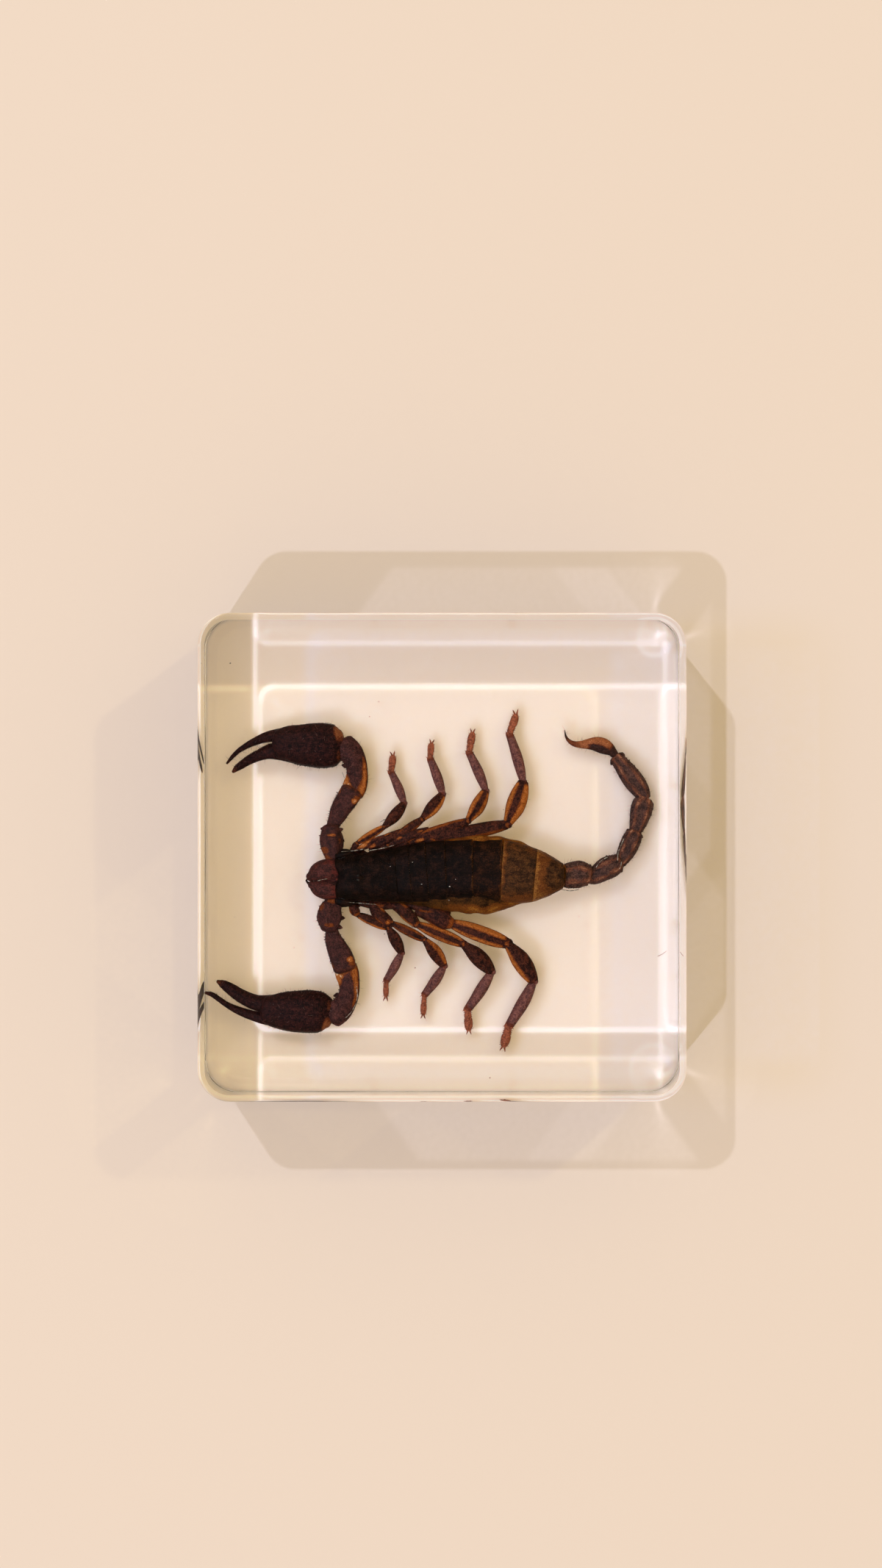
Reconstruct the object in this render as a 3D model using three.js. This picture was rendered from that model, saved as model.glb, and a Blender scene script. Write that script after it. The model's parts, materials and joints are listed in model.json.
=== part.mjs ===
// A square paperweight block of cast clear resin, lying flat, with a dried scorpion sealed inside it.
// Millimetres, +Z up. The origin is the middle of the underside, the face that the block rests on.
// Only the cast block is a solid here: the specimen fills no cavity of its own, because the resin
// was poured around it and grips it all over.
import * as THREE from 'three';

// Driving dimensions
const SIDE = 75;            // width and depth, over the flat side walls
const THICKNESS = 25;       // height, from the underside to the top face
const CORNER_RADIUS = 5;    // upright corners, seen from above
const EDGE_RADIUS = 1.2;    // polished edge all round the top face and the underside

// Fineness of the round stretches
const CORNER_STEPS = 12;    // facets in each upright corner
const EDGE_STEPS = 5;       // facets across each polished edge

// The block's plan: a square with round corners, pulled in by `inset` on every side.
function roundedSquare(side, radius, inset) {
  const half = side / 2 - inset;
  const r = radius - inset;
  const outline = new THREE.Shape();
  outline.moveTo(half - r, -half);
  outline.absarc(half - r, -half + r, r, -Math.PI / 2, 0, false);
  outline.absarc(half - r, half - r, r, 0, Math.PI / 2, false);
  outline.absarc(-half + r, half - r, r, Math.PI / 2, Math.PI, false);
  outline.absarc(-half + r, -half + r, r, Math.PI, Math.PI * 1.5, false);
  outline.closePath();
  return outline;
}

// The resin block: the plan drawn EDGE_RADIUS small, then swelled to full size by the round edges.
function makeResinBlock() {
  const geometry = new THREE.ExtrudeGeometry(roundedSquare(SIDE, CORNER_RADIUS, EDGE_RADIUS), {
    depth: THICKNESS - 2 * EDGE_RADIUS,
    curveSegments: CORNER_STEPS,
    bevelEnabled: true,
    bevelThickness: EDGE_RADIUS,
    bevelSize: EDGE_RADIUS,
    bevelSegments: EDGE_STEPS,
  });
  const material = new THREE.MeshStandardMaterial({
    color: 0xf3ead8,
    roughness: 0.04,
    metalness: 0,
    transparent: true,
    opacity: 0.35,
  });
  const block = new THREE.Mesh(geometry, material);
  block.name = 'resin_block';
  block.position.z = EDGE_RADIUS;    // the extrusion's lower edge starts EDGE_RADIUS below its plane
  return block;
}

const specimenBlock = new THREE.Group();
specimenBlock.name = 'scorpion_in_resin_block';
specimenBlock.add(makeResinBlock());

export default specimenBlock;
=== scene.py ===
import json
import math
import random

import bmesh
import bpy
import numpy as np
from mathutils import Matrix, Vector

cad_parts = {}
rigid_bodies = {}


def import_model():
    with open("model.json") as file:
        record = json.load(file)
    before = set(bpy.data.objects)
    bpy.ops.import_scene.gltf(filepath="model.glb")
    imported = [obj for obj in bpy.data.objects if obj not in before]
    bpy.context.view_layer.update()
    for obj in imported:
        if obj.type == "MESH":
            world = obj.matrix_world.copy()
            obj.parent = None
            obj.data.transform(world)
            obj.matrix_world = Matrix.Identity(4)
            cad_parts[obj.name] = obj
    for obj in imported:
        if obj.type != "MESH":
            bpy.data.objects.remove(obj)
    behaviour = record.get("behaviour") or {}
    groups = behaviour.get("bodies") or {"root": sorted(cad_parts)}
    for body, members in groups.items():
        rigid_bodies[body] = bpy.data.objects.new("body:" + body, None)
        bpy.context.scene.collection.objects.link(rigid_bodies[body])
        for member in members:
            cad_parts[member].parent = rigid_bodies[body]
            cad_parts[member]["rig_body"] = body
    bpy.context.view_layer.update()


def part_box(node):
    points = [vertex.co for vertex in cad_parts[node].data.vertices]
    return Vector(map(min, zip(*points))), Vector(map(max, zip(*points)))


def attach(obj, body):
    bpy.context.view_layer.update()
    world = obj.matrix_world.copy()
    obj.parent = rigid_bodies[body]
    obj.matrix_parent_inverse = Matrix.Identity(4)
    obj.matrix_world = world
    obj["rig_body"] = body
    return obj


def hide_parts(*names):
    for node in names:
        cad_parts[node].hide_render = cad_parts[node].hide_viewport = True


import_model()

low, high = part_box("resin_block")
mm = 0.001  # everything below is given in millimetres
dice = random.Random(7)
print("frame loaded")

# Where the block is seen from: straight down through its top face. Places in plan are given as they
# show on that face, and sunk() moves them to where they are down in the resin.
looking = {
    "height": 450.0,  # camera above the top face
    "x": -0.157,
    "y": 11.235,
    "frameHeight": 239.65,  # what the tall side of the picture takes in at the top face
    "sensor": 36.0,
    "drawnScale": 0.9947,  # the outlines below were drawn a touch large and off centre
    "drawnX": 0.067,
    "drawnY": -0.169,
}

resin = {
    "thickness": high[2] / mm,
    "side": (high[0] - low[0]) / mm,
    "cornerRadius": 5.0,
    "bevelRadius": 2.2,  # the top edge is dressed with a narrow bulging bevel
    "bevelTilts": (28.0, 78.0),  # where it starts and ends
    "edgeRadius": 0.15,  # on either side of the bevel
    "footRadius": 0.12,  # the underside is all but sharp
    "rimRadius": 9.0,  # for the followed light alone: how the face rolls over near its rim,
    "rimTilt": 13.0,  # too little to be seen
    "rimEdge": 0.75,
    "wallPolish": 0.55,  # share of light that the side walls turn back or let in cleanly
    "cornerSteps": 28,
    "edgeSteps": 10,
    "ior": 1.5,
    "tint": (1.0, 0.93, 0.80, 1),
    "density": 2.5,
}


def sunk(x, y, z):
    x = x * looking["drawnScale"] + looking["drawnX"]
    y = y * looking["drawnScale"] + looking["drawnY"]
    depth = resin["thickness"] - z
    grow = 1 + depth / (resin["ior"] * looking["height"])
    return (
        looking["x"] + (x - looking["x"]) * grow,
        looking["y"] + (y - looking["y"]) * grow,
        z,
    )


# shading


class Wire:
    # a shader socket that takes part in arithmetic; each operator adds one Math node
    def __init__(self, shading, socket):
        self.shading = shading
        self.socket = socket

    def maths(self, operation, first, second):
        return self.shading.node("ShaderNodeMath", {"operation": operation}, {0: first, 1: second})

    def __add__(self, other):
        return self.maths("ADD", self, other)

    def __radd__(self, other):
        return self.maths("ADD", other, self)

    def __sub__(self, other):
        return self.maths("SUBTRACT", self, other)

    def __rsub__(self, other):
        return self.maths("SUBTRACT", other, self)

    def __mul__(self, other):
        return self.maths("MULTIPLY", self, other)

    def __rmul__(self, other):
        return self.maths("MULTIPLY", other, self)


class Shading:
    def __init__(self, name):
        self.material = bpy.data.materials.new(name)
        self.material.use_nodes = True
        self.tree = self.material.node_tree
        self.tree.nodes.clear()

    def node(self, kind, settings=None, sockets=None, out=0):
        made = self.tree.nodes.new(kind)
        for key, value in (settings or {}).items():
            setattr(made, key, value)
        for key, value in (sockets or {}).items():
            if isinstance(value, Wire):
                self.tree.links.new(value.socket, made.inputs[key])
            else:
                made.inputs[key].default_value = value
        return Wire(self, made.outputs[out]) if made.outputs else made

    def grainOf(self, scale, detail=3.0):
        # plain mottling fixed to the piece
        place = self.node("ShaderNodeTexCoord", {}, {}, "Object")
        return self.noise(place, scale, detail)

    def solid(self, sockets):
        return self.node("ShaderNodeBsdfPrincipled", {}, sockets)

    def noise(self, place, scale, detail=3.0, rough=0.55, warp=0.0):
        return self.node(
            "ShaderNodeTexNoise",
            {"noise_dimensions": "3D"},
            {"Vector": place, "Scale": scale, "Detail": detail, "Roughness": rough, "Distortion": warp},
        )

    def step(self, value, start, end):
        # 0 below start, 1 above end, eased between
        return self.node(
            "ShaderNodeMapRange",
            {"interpolation_type": "SMOOTHSTEP"},
            {"Value": value, "From Min": start, "From Max": end},
        )

    def blend(self, share, first, second):
        return self.node("ShaderNodeMix", {"data_type": "RGBA"}, {0: share, 6: first, 7: second}, 2)

    def close(self, surface, volume=None):
        ends = {"Surface": surface}
        if volume:
            ends["Volume"] = volume
        self.node("ShaderNodeOutputMaterial", {}, ends)
        return self.material


def rgb(red, green, blue):
    return (red, green, blue, 1)


def resinMaterial():
    s = Shading("clear cast resin")
    glass = s.solid({
        "Base Color": rgb(1, 1, 1), "Roughness": 0.0, "IOR": resin["ior"], "Transmission Weight": 1.0,
    })
    # lamps shine straight in, so that what is sealed inside is lit
    clear = s.node("ShaderNodeBsdfTransparent")
    lamp = s.node("ShaderNodeLightPath", {}, {}, "Is Shadow Ray")
    surface = s.node("ShaderNodeMixShader", {}, {0: lamp, 1: glass, 2: clear})
    haze = s.node("ShaderNodeVolumeAbsorption", {}, {"Color": resin["tint"], "Density": resin["density"]})
    return s.close(surface, haze)


# Cuticle finishes. dark and warm are mottled together; where a part is painted, rust comes first, then amber
# and last the pale skin of a joint. mottle, streak and pits are the scales of the marks, share is where the
# mottling turns from dark to warm, and bump is how deep the grain goes.
looks = {
    "black cuticle": {
        "dark": rgb(0.0032, 0.0017, 0.0012), "warm": rgb(0.0230, 0.0080, 0.0045),
        "amber": rgb(0.110, 0.048, 0.014), "mottle": 900, "streak": 2600,
        "share": (0.42, 0.68), "bump": 0.04,
    },
    "dark tergite": {
        "dark": rgb(0.0052, 0.0023, 0.0012), "warm": rgb(0.0400, 0.0118, 0.0036),
        "amber": rgb(0.170, 0.066, 0.0160), "mottle": 1000, "streak": 2400,
        "share": (0.42, 0.70), "bump": 0.04,
    },
    "brown tergite": {
        "dark": rgb(0.0190, 0.0084, 0.0038), "warm": rgb(0.1000, 0.0360, 0.0105),
        "amber": rgb(0.260, 0.098, 0.0210), "mottle": 1000, "streak": 2400,
        "share": (0.38, 0.68), "bump": 0.04,
    },
    # the amber on the flanks is painted light, brightest on the side that faces the light
    "flank membrane": {
        "dark": rgb(0.0150, 0.0060, 0.0018), "warm": rgb(0.0680, 0.0245, 0.0046),
        "amber": rgb(0.295, 0.106, 0.0150), "mottle": 800, "streak": 2200,
        "share": (0.36, 0.62), "bump": 0.07,
    },
    "claw cuticle": {
        "dark": rgb(0.0078, 0.0034, 0.0033), "warm": rgb(0.0440, 0.0114, 0.0086),
        "amber": rgb(0.230, 0.070, 0.0260), "mottle": 2200, "streak": 2800,
        "share": (0.40, 0.66), "bump": 0.06,
    },
    "arm cuticle": {
        "dark": rgb(0.0232, 0.0100, 0.0092), "warm": rgb(0.0860, 0.0264, 0.0206),
        "amber": rgb(0.370, 0.106, 0.0230), "mottle": 1500, "streak": 2600,
        "share": (0.38, 0.66), "bump": 0.05,
    },
    "jaw cuticle": {
        "dark": rgb(0.0255, 0.0106, 0.0092), "warm": rgb(0.1120, 0.0278, 0.0205),
        "amber": rgb(0.240, 0.052, 0.0330), "mottle": 1300, "streak": 2200,
        "share": (0.40, 0.68), "bump": 0.04,
    },
    # the amber of legs and shins is partly their own colour and partly painted light through the thin sides
    "leg cuticle": {
        "dark": rgb(0.0135, 0.0054, 0.0044), "warm": rgb(0.0920, 0.0226, 0.0118),
        "amber": rgb(0.370, 0.104, 0.0200), "mottle": 1500, "streak": 3000,
        "share": (0.40, 0.66), "bump": 0.03,
    },
    "shin cuticle": {
        "dark": rgb(0.0680, 0.0275, 0.0250), "warm": rgb(0.2150, 0.0745, 0.0580),
        "amber": rgb(0.240, 0.066, 0.0330), "mottle": 1700, "streak": 3000,
        "share": (0.36, 0.66), "bump": 0.03,
    },
    "foot cuticle": {
        "dark": rgb(0.1050, 0.0290, 0.0170), "warm": rgb(0.3600, 0.0980, 0.0480),
        "amber": rgb(0.380, 0.125, 0.0600), "mottle": 2300, "streak": 3400,
        "share": (0.34, 0.62), "bump": 0.03,
    },
    "tail cuticle": {
        "dark": rgb(0.0222, 0.0125, 0.0115), "warm": rgb(0.1180, 0.0520, 0.0370),
        "amber": rgb(0.330, 0.135, 0.0720), "mottle": 1500, "streak": 3000,
        "share": (0.36, 0.66), "bump": 0.05,
    },
    "sting cuticle": {
        "dark": rgb(0.0210, 0.0105, 0.0095), "warm": rgb(0.0620, 0.0240, 0.0160),
        "amber": rgb(0.300, 0.092, 0.0330), "mottle": 1700, "streak": 3000,
        "share": (0.36, 0.66), "bump": 0.02,
    },
}
paint = {
    "rust": (0.46, 0.36, 0.38, 1),  # rust against the amber of the same finish
    "pale": rgb(0.56, 0.36, 0.19),
    "rustStart": (0.14, 0.44),
    "amberStart": (0.46, 0.92),
    "paleStart": (1.15, 1.60),
    "ragged": 3.2,  # how far the mottling frays the edge of a painted mark
    "pits": 5200,
    "uneven": (0.50, 0.20, 0.30),  # shares of blotches, streaks and speckle in the mottling
    "stretch": (0.35, 1, 1),  # streaks run along the part
    "shade": (0.52, 0.16, 0.67),  # how much speckle and streaks lighten the colour, and the darkest of it
    "roughness": (0.38, 0.18),  # the least, and what the blotches add
}


def cuticle(name):
    look = looks[name]
    s = Shading(name)
    place = s.node("ShaderNodeTexCoord", {}, {}, "Object")
    lay = s.node("ShaderNodeAttribute", {"attribute_name": "lay"}, {}, "Vector")
    drawnOut = s.node("ShaderNodeVectorMath", {"operation": "MULTIPLY"}, {0: lay, 1: paint["stretch"]})
    blotches = s.noise(place, look["mottle"], 4.0, 0.62, 0.5)
    streaks = s.noise(drawnOut, look["streak"], 3.0, 0.6, 0.4)
    speckle = s.noise(place, paint["pits"], 2.0, 0.7)
    shares = paint["uneven"]
    uneven = blotches * shares[0] + streaks * shares[1] + speckle * shares[2]
    colour = s.blend(s.step(uneven, *look["share"]), look["dark"], look["warm"])
    # the painted amount holds the real amber marks and also painted light shining through the thin flanks of
    # legs and body
    painted = s.node("ShaderNodeAttribute", {"attribute_name": "amber"}, {}, "Fac")
    strength = painted * ((uneven - 0.5) * paint["ragged"] + 1.0)
    rust = tuple(part * share for part, share in zip(look["amber"], paint["rust"]))
    for key, tone in (("rustStart", rust), ("amberStart", look["amber"]), ("paleStart", paint["pale"])):
        colour = s.blend(s.step(strength, *paint[key]), colour, tone)
    bySpeckle, byStreaks, least = paint["shade"]
    shade = s.step(speckle, 0.32, 0.68) * bySpeckle + s.step(streaks, 0.35, 0.65) * byStreaks + least
    colour = s.node(
        "ShaderNodeVectorMath",
        {"operation": "MULTIPLY"},
        {0: colour, 1: s.node("ShaderNodeCombineXYZ", {}, {"X": shade, "Y": shade, "Z": shade})},
    )
    bump = s.node(
        "ShaderNodeBump",
        {},
        {"Height": speckle + blotches * 0.6 + streaks * 0.5, "Distance": look["bump"] * mm, "Strength": 0.8},
    )
    least, byBlotches = paint["roughness"]
    return s.close(s.solid({
        "Base Color": colour,
        "Roughness": s.step(blotches, 0.2, 0.8) * byBlotches + least,
        "Specular IOR Level": 0.04,
        "Normal": bump,
    }))


# the plain finishes: two tones mottled together, the scale and detail of the mottling, and the roughness
plainLooks = {
    "bristles": {
        "first": rgb(0.05, 0.02, 0.012), "second": rgb(0.20, 0.08, 0.04), "mottle": (900, 2.0), "rough": 0.45,
    },
    "eye lens": {
        "first": rgb(0.002, 0.002, 0.003), "second": rgb(0.012, 0.010, 0.014), "mottle": (5000, 1.0),
        "rough": 0.08,
    },
    "dark dust": {
        "first": rgb(0.02, 0.012, 0.01), "second": rgb(0.09, 0.06, 0.04), "mottle": (6000, 3.0), "rough": 0.8,
    },
    "pale fluff": {
        "first": rgb(0.55, 0.5, 0.44), "second": rgb(0.9, 0.87, 0.8), "mottle": (6000, 3.0), "rough": 0.8,
    },
}


def plainMaterial(name):
    look = plainLooks[name]
    s = Shading(name)
    colour = s.blend(s.grainOf(*look["mottle"]), look["first"], look["second"])
    return s.close(s.solid({"Base Color": colour, "Roughness": look["rough"]}))


def filmMaterial():
    # a trapped film of air; its pale patches are a painted reflection of the light from above
    s = Shading("trapped air film")
    patch = s.step(s.grainOf(2400), 0.35, 0.65)
    colour = s.blend(patch, rgb(0.08, 0.055, 0.035), rgb(0.52, 0.46, 0.37))
    return s.close(s.solid({"Base Color": colour, "Roughness": patch * 0.2 + 0.12}))


finish = {name: cuticle(name) for name in looks}
finish.update({name: plainMaterial(name) for name in plainLooks})
finish["trapped air film"] = filmMaterial()
print("finishes made")


# mesh tools


def smoothPath(stations, count):
    # a smooth run through the stations, spaced evenly along it
    rows = np.array(stations, float)
    gaps = np.linalg.norm(np.diff(rows[:, :3], axis=0), axis=1)
    at = np.concatenate([[0], np.cumsum(gaps)])
    slopes = np.gradient(rows, at, axis=0)
    where = np.linspace(0, at[-1], count)
    cell = np.clip(np.searchsorted(at, where, side="right") - 1, 0, len(at) - 2)
    span = (at[cell + 1] - at[cell])[:, None]
    t = (where - at[cell])[:, None] / span
    first, second = rows[cell], rows[cell + 1]
    leave, arrive = slopes[cell] * span, slopes[cell + 1] * span
    return (
        (2 * t**3 - 3 * t**2 + 1) * first
        + (t**3 - 2 * t**2 + t) * leave
        + (3 * t**2 - 2 * t**3) * second
        + (t**3 - t**2) * arrive
    )


def ringFaces(rings, sides):
    # the quads between closed rings of points that follow each other
    faces = []
    for i in range(rings - 1):
        for j in range(sides):
            k = (j + 1) % sides
            faces.append((i * sides + j, i * sides + k, (i + 1) * sides + k, (i + 1) * sides + j))
    return faces


def intoScene(name, data):
    made = bpy.data.objects.new(name, data)
    bpy.context.scene.collection.objects.link(made)
    return made


def unit(rows):
    return rows / np.maximum(np.linalg.norm(rows, axis=-1, keepdims=True), 1e-9)


def eased(value, start, end):
    t = np.clip((value - start) / (end - start), 0, 1)
    return t * t * (3 - 2 * t)


def tube(stations, sides=24, rings=36, paint=None, shape=None, square=2.0, caps=(0.6, 0.6), finishNo=0):
    # A closed swelling limb along stations of x, y, z, half width, half height. shape and paint are
    # functions of the share along it and the angle round it, which starts on its right-hand side.
    # lay holds where each point would be with the limb pulled straight, for marks that run lengthwise.
    placed = []
    for x, y, z, halfWidth, halfHeight in stations:
        grow = 1 + (resin["thickness"] - z) / (resin["ior"] * looking["height"])
        placed.append((*sunk(x, y, z), halfWidth * grow, halfHeight * grow))
    path = smoothPath(placed, rings)
    ahead = unit(np.gradient(path[:, :3], axis=0))
    across = unit(np.cross(ahead, (0, 0, 1)))
    above = np.cross(across, ahead)
    capSteps = np.radians([25, 50, 72])
    row, push, scale, share = [], [], [], []
    reach = caps[0] * min(path[0, 3], path[0, 4])
    for angle in capSteps:
        row.append(0)
        push.append(-reach * math.cos(angle))
        scale.append(math.sin(angle))
        share.append(0.0)
    for i in range(rings):
        row.append(i)
        push.append(0.0)
        scale.append(1.0)
        share.append(i / (rings - 1))
    reach = caps[1] * min(path[-1, 3], path[-1, 4])
    for angle in capSteps[::-1]:
        row.append(rings - 1)
        push.append(reach * math.cos(angle))
        scale.append(math.sin(angle))
        share.append(1.0)
    row, push, scale, share = np.array(row), np.array(push), np.array(scale), np.array(share)
    turn = np.linspace(0, 2 * math.pi, sides, endpoint=False)
    wide = np.sign(np.cos(turn)) * np.abs(np.cos(turn)) ** (2 / square)
    tall = np.sign(np.sin(turn)) * np.abs(np.sin(turn)) ** (2 / square)
    along, around = np.meshgrid(share, turn, indexing="ij")
    swell = shape(along, around) if shape else np.ones_like(along)
    width = (scale * path[row, 3])[:, None] * wide[None, :] * swell
    height = (scale * path[row, 4])[:, None] * tall[None, :] * swell
    middle = path[row, :3] + ahead[row] * push[:, None]
    sideways = across[row][:, None] * width[..., None]
    upwards = above[row][:, None] * height[..., None]
    points = middle[:, None] + sideways + upwards
    amber = paint(along, around) if paint else np.zeros_like(along)
    count = len(row)
    length = np.concatenate([[0], np.cumsum(np.linalg.norm(np.diff(path[:, :3], axis=0), axis=1))])
    straight = length[row] + push + path[0, 0] * 7  # parts that start apart don't share their marks
    lay = np.stack([np.broadcast_to(straight[:, None], width.shape), width, height], axis=-1)
    firstPole = path[0, :3] - ahead[0] * caps[0] * min(path[0, 3], path[0, 4])
    lastPole = path[-1, :3] + ahead[-1] * caps[1] * min(path[-1, 3], path[-1, 4])
    verts = np.vstack([points.reshape(-1, 3), firstPole, lastPole])
    lay = np.vstack([lay.reshape(-1, 3), lay[0].mean(axis=0), lay[-1].mean(axis=0)])
    tint = np.concatenate([amber.reshape(-1), [amber[0].mean(), amber[-1].mean()]])
    faces = ringFaces(count, sides)
    for j in range(sides):
        k = (j + 1) % sides
        faces.append((count * sides, k, j))
        faces.append((count * sides + 1, (count - 1) * sides + j, (count - 1) * sides + k))
    return {"verts": verts, "faces": faces, "amber": tint, "lay": lay, "finishNo": finishNo, "grid": points}


def spike(root, heading, radius, length, amber=0.0, finishNo=0, sides=6):
    # a small blunt tubercle, bristle or claw; root and heading are true places
    heading = unit(np.array(heading, float))
    aside = unit(np.cross(heading, (0.31, 0.17, 0.93)))
    other = np.cross(heading, aside)
    root = np.array(root, float)
    verts = []
    levels = ((-0.3, 1.0), (0.25, 0.92), (0.62, 0.6), (0.88, 0.3))
    for rise, share in levels:
        for j in range(sides):
            turn = 2 * math.pi * j / sides
            spoke = aside * math.cos(turn) + other * math.sin(turn)
            verts.append(root + heading * rise * length + spoke * radius * share)
    faces = ringFaces(len(levels), sides)
    verts.append(root + heading * length)
    tip = len(verts) - 1
    last = (len(levels) - 1) * sides
    for j in range(sides):
        faces.append((last + j, last + (j + 1) % sides, tip))
    faces.append(tuple(reversed(range(sides))))
    return {
        "verts": np.array(verts),
        "faces": faces,
        "amber": np.full(len(verts), amber),
        "lay": np.array(verts),
        "finishNo": finishNo,
    }


def bristle(root, heading, length, radius, droop):
    # one bent hair of three runs
    heading = unit(np.array(heading, float))
    aside = unit(np.cross(heading, (0.2, 0.4, 0.89)))
    other = np.cross(heading, aside)
    verts = []
    for rise, share in ((0, 1.0), (0.4, 0.8), (0.75, 0.5)):
        middle = np.array(root) + heading * length * rise + aside * droop * length * rise**2
        for j in range(3):
            turn = 2 * math.pi * j / 3
            spoke = aside * math.cos(turn) + other * math.sin(turn)
            verts.append(middle + spoke * radius * share)
    verts.append(np.array(root) + heading * length + aside * droop * length)
    faces = ringFaces(3, 3)
    for j in range(3):
        faces.append((6 + j, 6 + (j + 1) % 3, 9))
    faces.append((2, 1, 0))
    verts = np.array(verts)
    return {"verts": verts, "faces": faces, "amber": np.zeros(len(verts)), "lay": verts, "finishNo": 0}


def makePiece(name, parts, materials, grain=None):
    verts = np.vstack([part["verts"] for part in parts]) * mm
    faces, finishNos, start = [], [], 0
    for part in parts:
        faces += [tuple(i + start for i in face) for face in part["faces"]]
        finishNos += [part["finishNo"]] * len(part["faces"])
        start += len(part["verts"])
    mesh = bpy.data.meshes.new(name)
    mesh.from_pydata(verts.tolist(), [], faces)
    for polygon, number in zip(mesh.polygons, finishNos):
        polygon.material_index = number
        polygon.use_smooth = True
    tint = mesh.attributes.new("amber", "FLOAT", "POINT")
    tint.data.foreach_set("value", np.concatenate([part["amber"] for part in parts]).astype(np.float32))
    lay = mesh.attributes.new("lay", "FLOAT_VECTOR", "POINT")
    laidOut = np.vstack([part["lay"] for part in parts]) * mm
    lay.data.foreach_set("vector", laidOut.astype(np.float32).ravel())
    work = bmesh.new()
    work.from_mesh(mesh)
    bmesh.ops.recalc_face_normals(work, faces=work.faces)
    work.to_mesh(mesh)
    work.free()
    piece = intoScene(name, mesh)
    for material in materials:
        mesh.materials.append(finish[material])
    if grain:
        size, strength = grain
        texture = bpy.data.textures.new(name + "Grain", "CLOUDS")
        texture.noise_scale = size * mm
        texture.noise_depth = 2
        modifier = piece.modifiers.new("grain", "DISPLACE")
        modifier.texture = texture
        modifier.texture_coords = "LOCAL"
        modifier.strength = strength * mm
        modifier.mid_level = 0.5
    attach(piece, "root")


def ridged(count, depth, start=0.0, sharp=3.0):
    # lengthwise keels, even round the part
    def shape(along, around):
        wave = np.abs(np.cos((around - start) * count / 2)) ** sharp
        return 1 + depth * (wave - 0.4) * np.sin(np.clip(along, 0.02, 0.98) * math.pi) ** 0.3

    return shape


def jointed(place, depth):
    # a narrow waist where two short joints meet
    return lambda along, around: 1 - depth * np.exp(-(((along - place) / 0.035) ** 2))


def lumpy(seed, depth=0.03, keels=None):
    # slow dents and swellings of dried cuticle, over keels where given
    roll = random.Random(seed)
    waves = [(roll.uniform(2, 7), roll.randint(1, 3), roll.uniform(0, 6.3)) for _ in range(5)]

    def shape(along, around):
        base = keels(along, around) if keels else 1.0
        total = sum(np.sin(along * a + around * b + c) for a, b, c in waves)
        return base * (1 + depth * total / 3)

    return shape


def flanksAmberAndGlow(left, right, middle=0.0, width=0.35, ends=0.10):
    # amber flanks beside a dark core, partly real colour and partly painted light shining through the thin
    # sides; left and right say how strong each is. The outer rim is dark again.
    def paint(along, around):
        aside = np.cos(around)
        strength = right * eased(aside, middle + width - 0.10, middle + width + 0.34)
        strength = strength + left * eased(-aside, -middle + width - 0.10, -middle + width + 0.34)
        rim = 1 - 0.55 * eased(np.abs(aside), 0.90, 1.0)
        fade = eased(along, 0.0, ends) * (1 - eased(along, 1 - ends, 1.0))
        return strength * fade * rim

    return paint


def banded(*bands):
    # amber by the share along the part: each band is start, end, strength
    def paint(along, around):
        total = np.zeros_like(along)
        for start, end, strength in bands:
            soft = (end - start) * 0.42
            inside = eased(along, start, start + soft) * (1 - eased(along, end - soft, end))
            total = np.maximum(total, inside * strength)
        return total

    return paint


def spotted(*spots):
    # soft oval patches: share along, angle round, half length, half angle, strength
    def paint(along, around):
        total = np.zeros_like(along)
        for place, angle, long, wide, strength in spots:
            turn = np.abs((around - angle + math.pi) % (2 * math.pi) - math.pi)
            away = np.hypot((along - place) / long, turn / wide)
            total = np.maximum(total, strength * (1 - eased(away, 0.35, 1.25)))
        return total

    return paint


def layered(*paints):
    return lambda along, around: np.maximum.reduce([one(along, around) for one in paints])


def mirrored(paint):
    return lambda along, around: paint(along, math.pi - around)


# the cast block


def topEdge():
    # outset from the flat face, drop and tilt, from the face outwards: a small round, the bevel, and a
    # small round again
    first, last = (math.radians(tilt) for tilt in resin["bevelTilts"])
    small, bevel = resin["edgeRadius"], resin["bevelRadius"]
    rows = [(0.0, 0.0, 0.0)]
    for radius, start, end in ((small, 0, first), (bevel, first, last), (small, last, math.pi / 2)):
        out, drop, _ = rows[-1]
        for k in range(1, resin["edgeSteps"] + 1):
            tilt = start + (end - start) * k / resin["edgeSteps"]
            rows.append((
                out + radius * (math.sin(tilt) - math.sin(start)),
                drop + radius * (math.cos(start) - math.cos(tilt)),
                tilt,
            ))
    return rows


def roundBlock(inset):
    # places in plan round the block, drawn in by the inset, and which way the wall faces at each
    reach = resin["side"] / 2 - resin["cornerRadius"]
    radius = resin["cornerRadius"] - inset
    for quarter, (cx, cy) in enumerate(((1, 1), (-1, 1), (-1, -1), (1, -1))):
        for k in range(resin["cornerSteps"] + 1):
            turn = math.pi / 2 * (quarter + k / resin["cornerSteps"])
            facing = (math.cos(turn), math.sin(turn))
            yield (cx * reach + radius * facing[0]) * mm, (cy * reach + radius * facing[1]) * mm, facing


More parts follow.
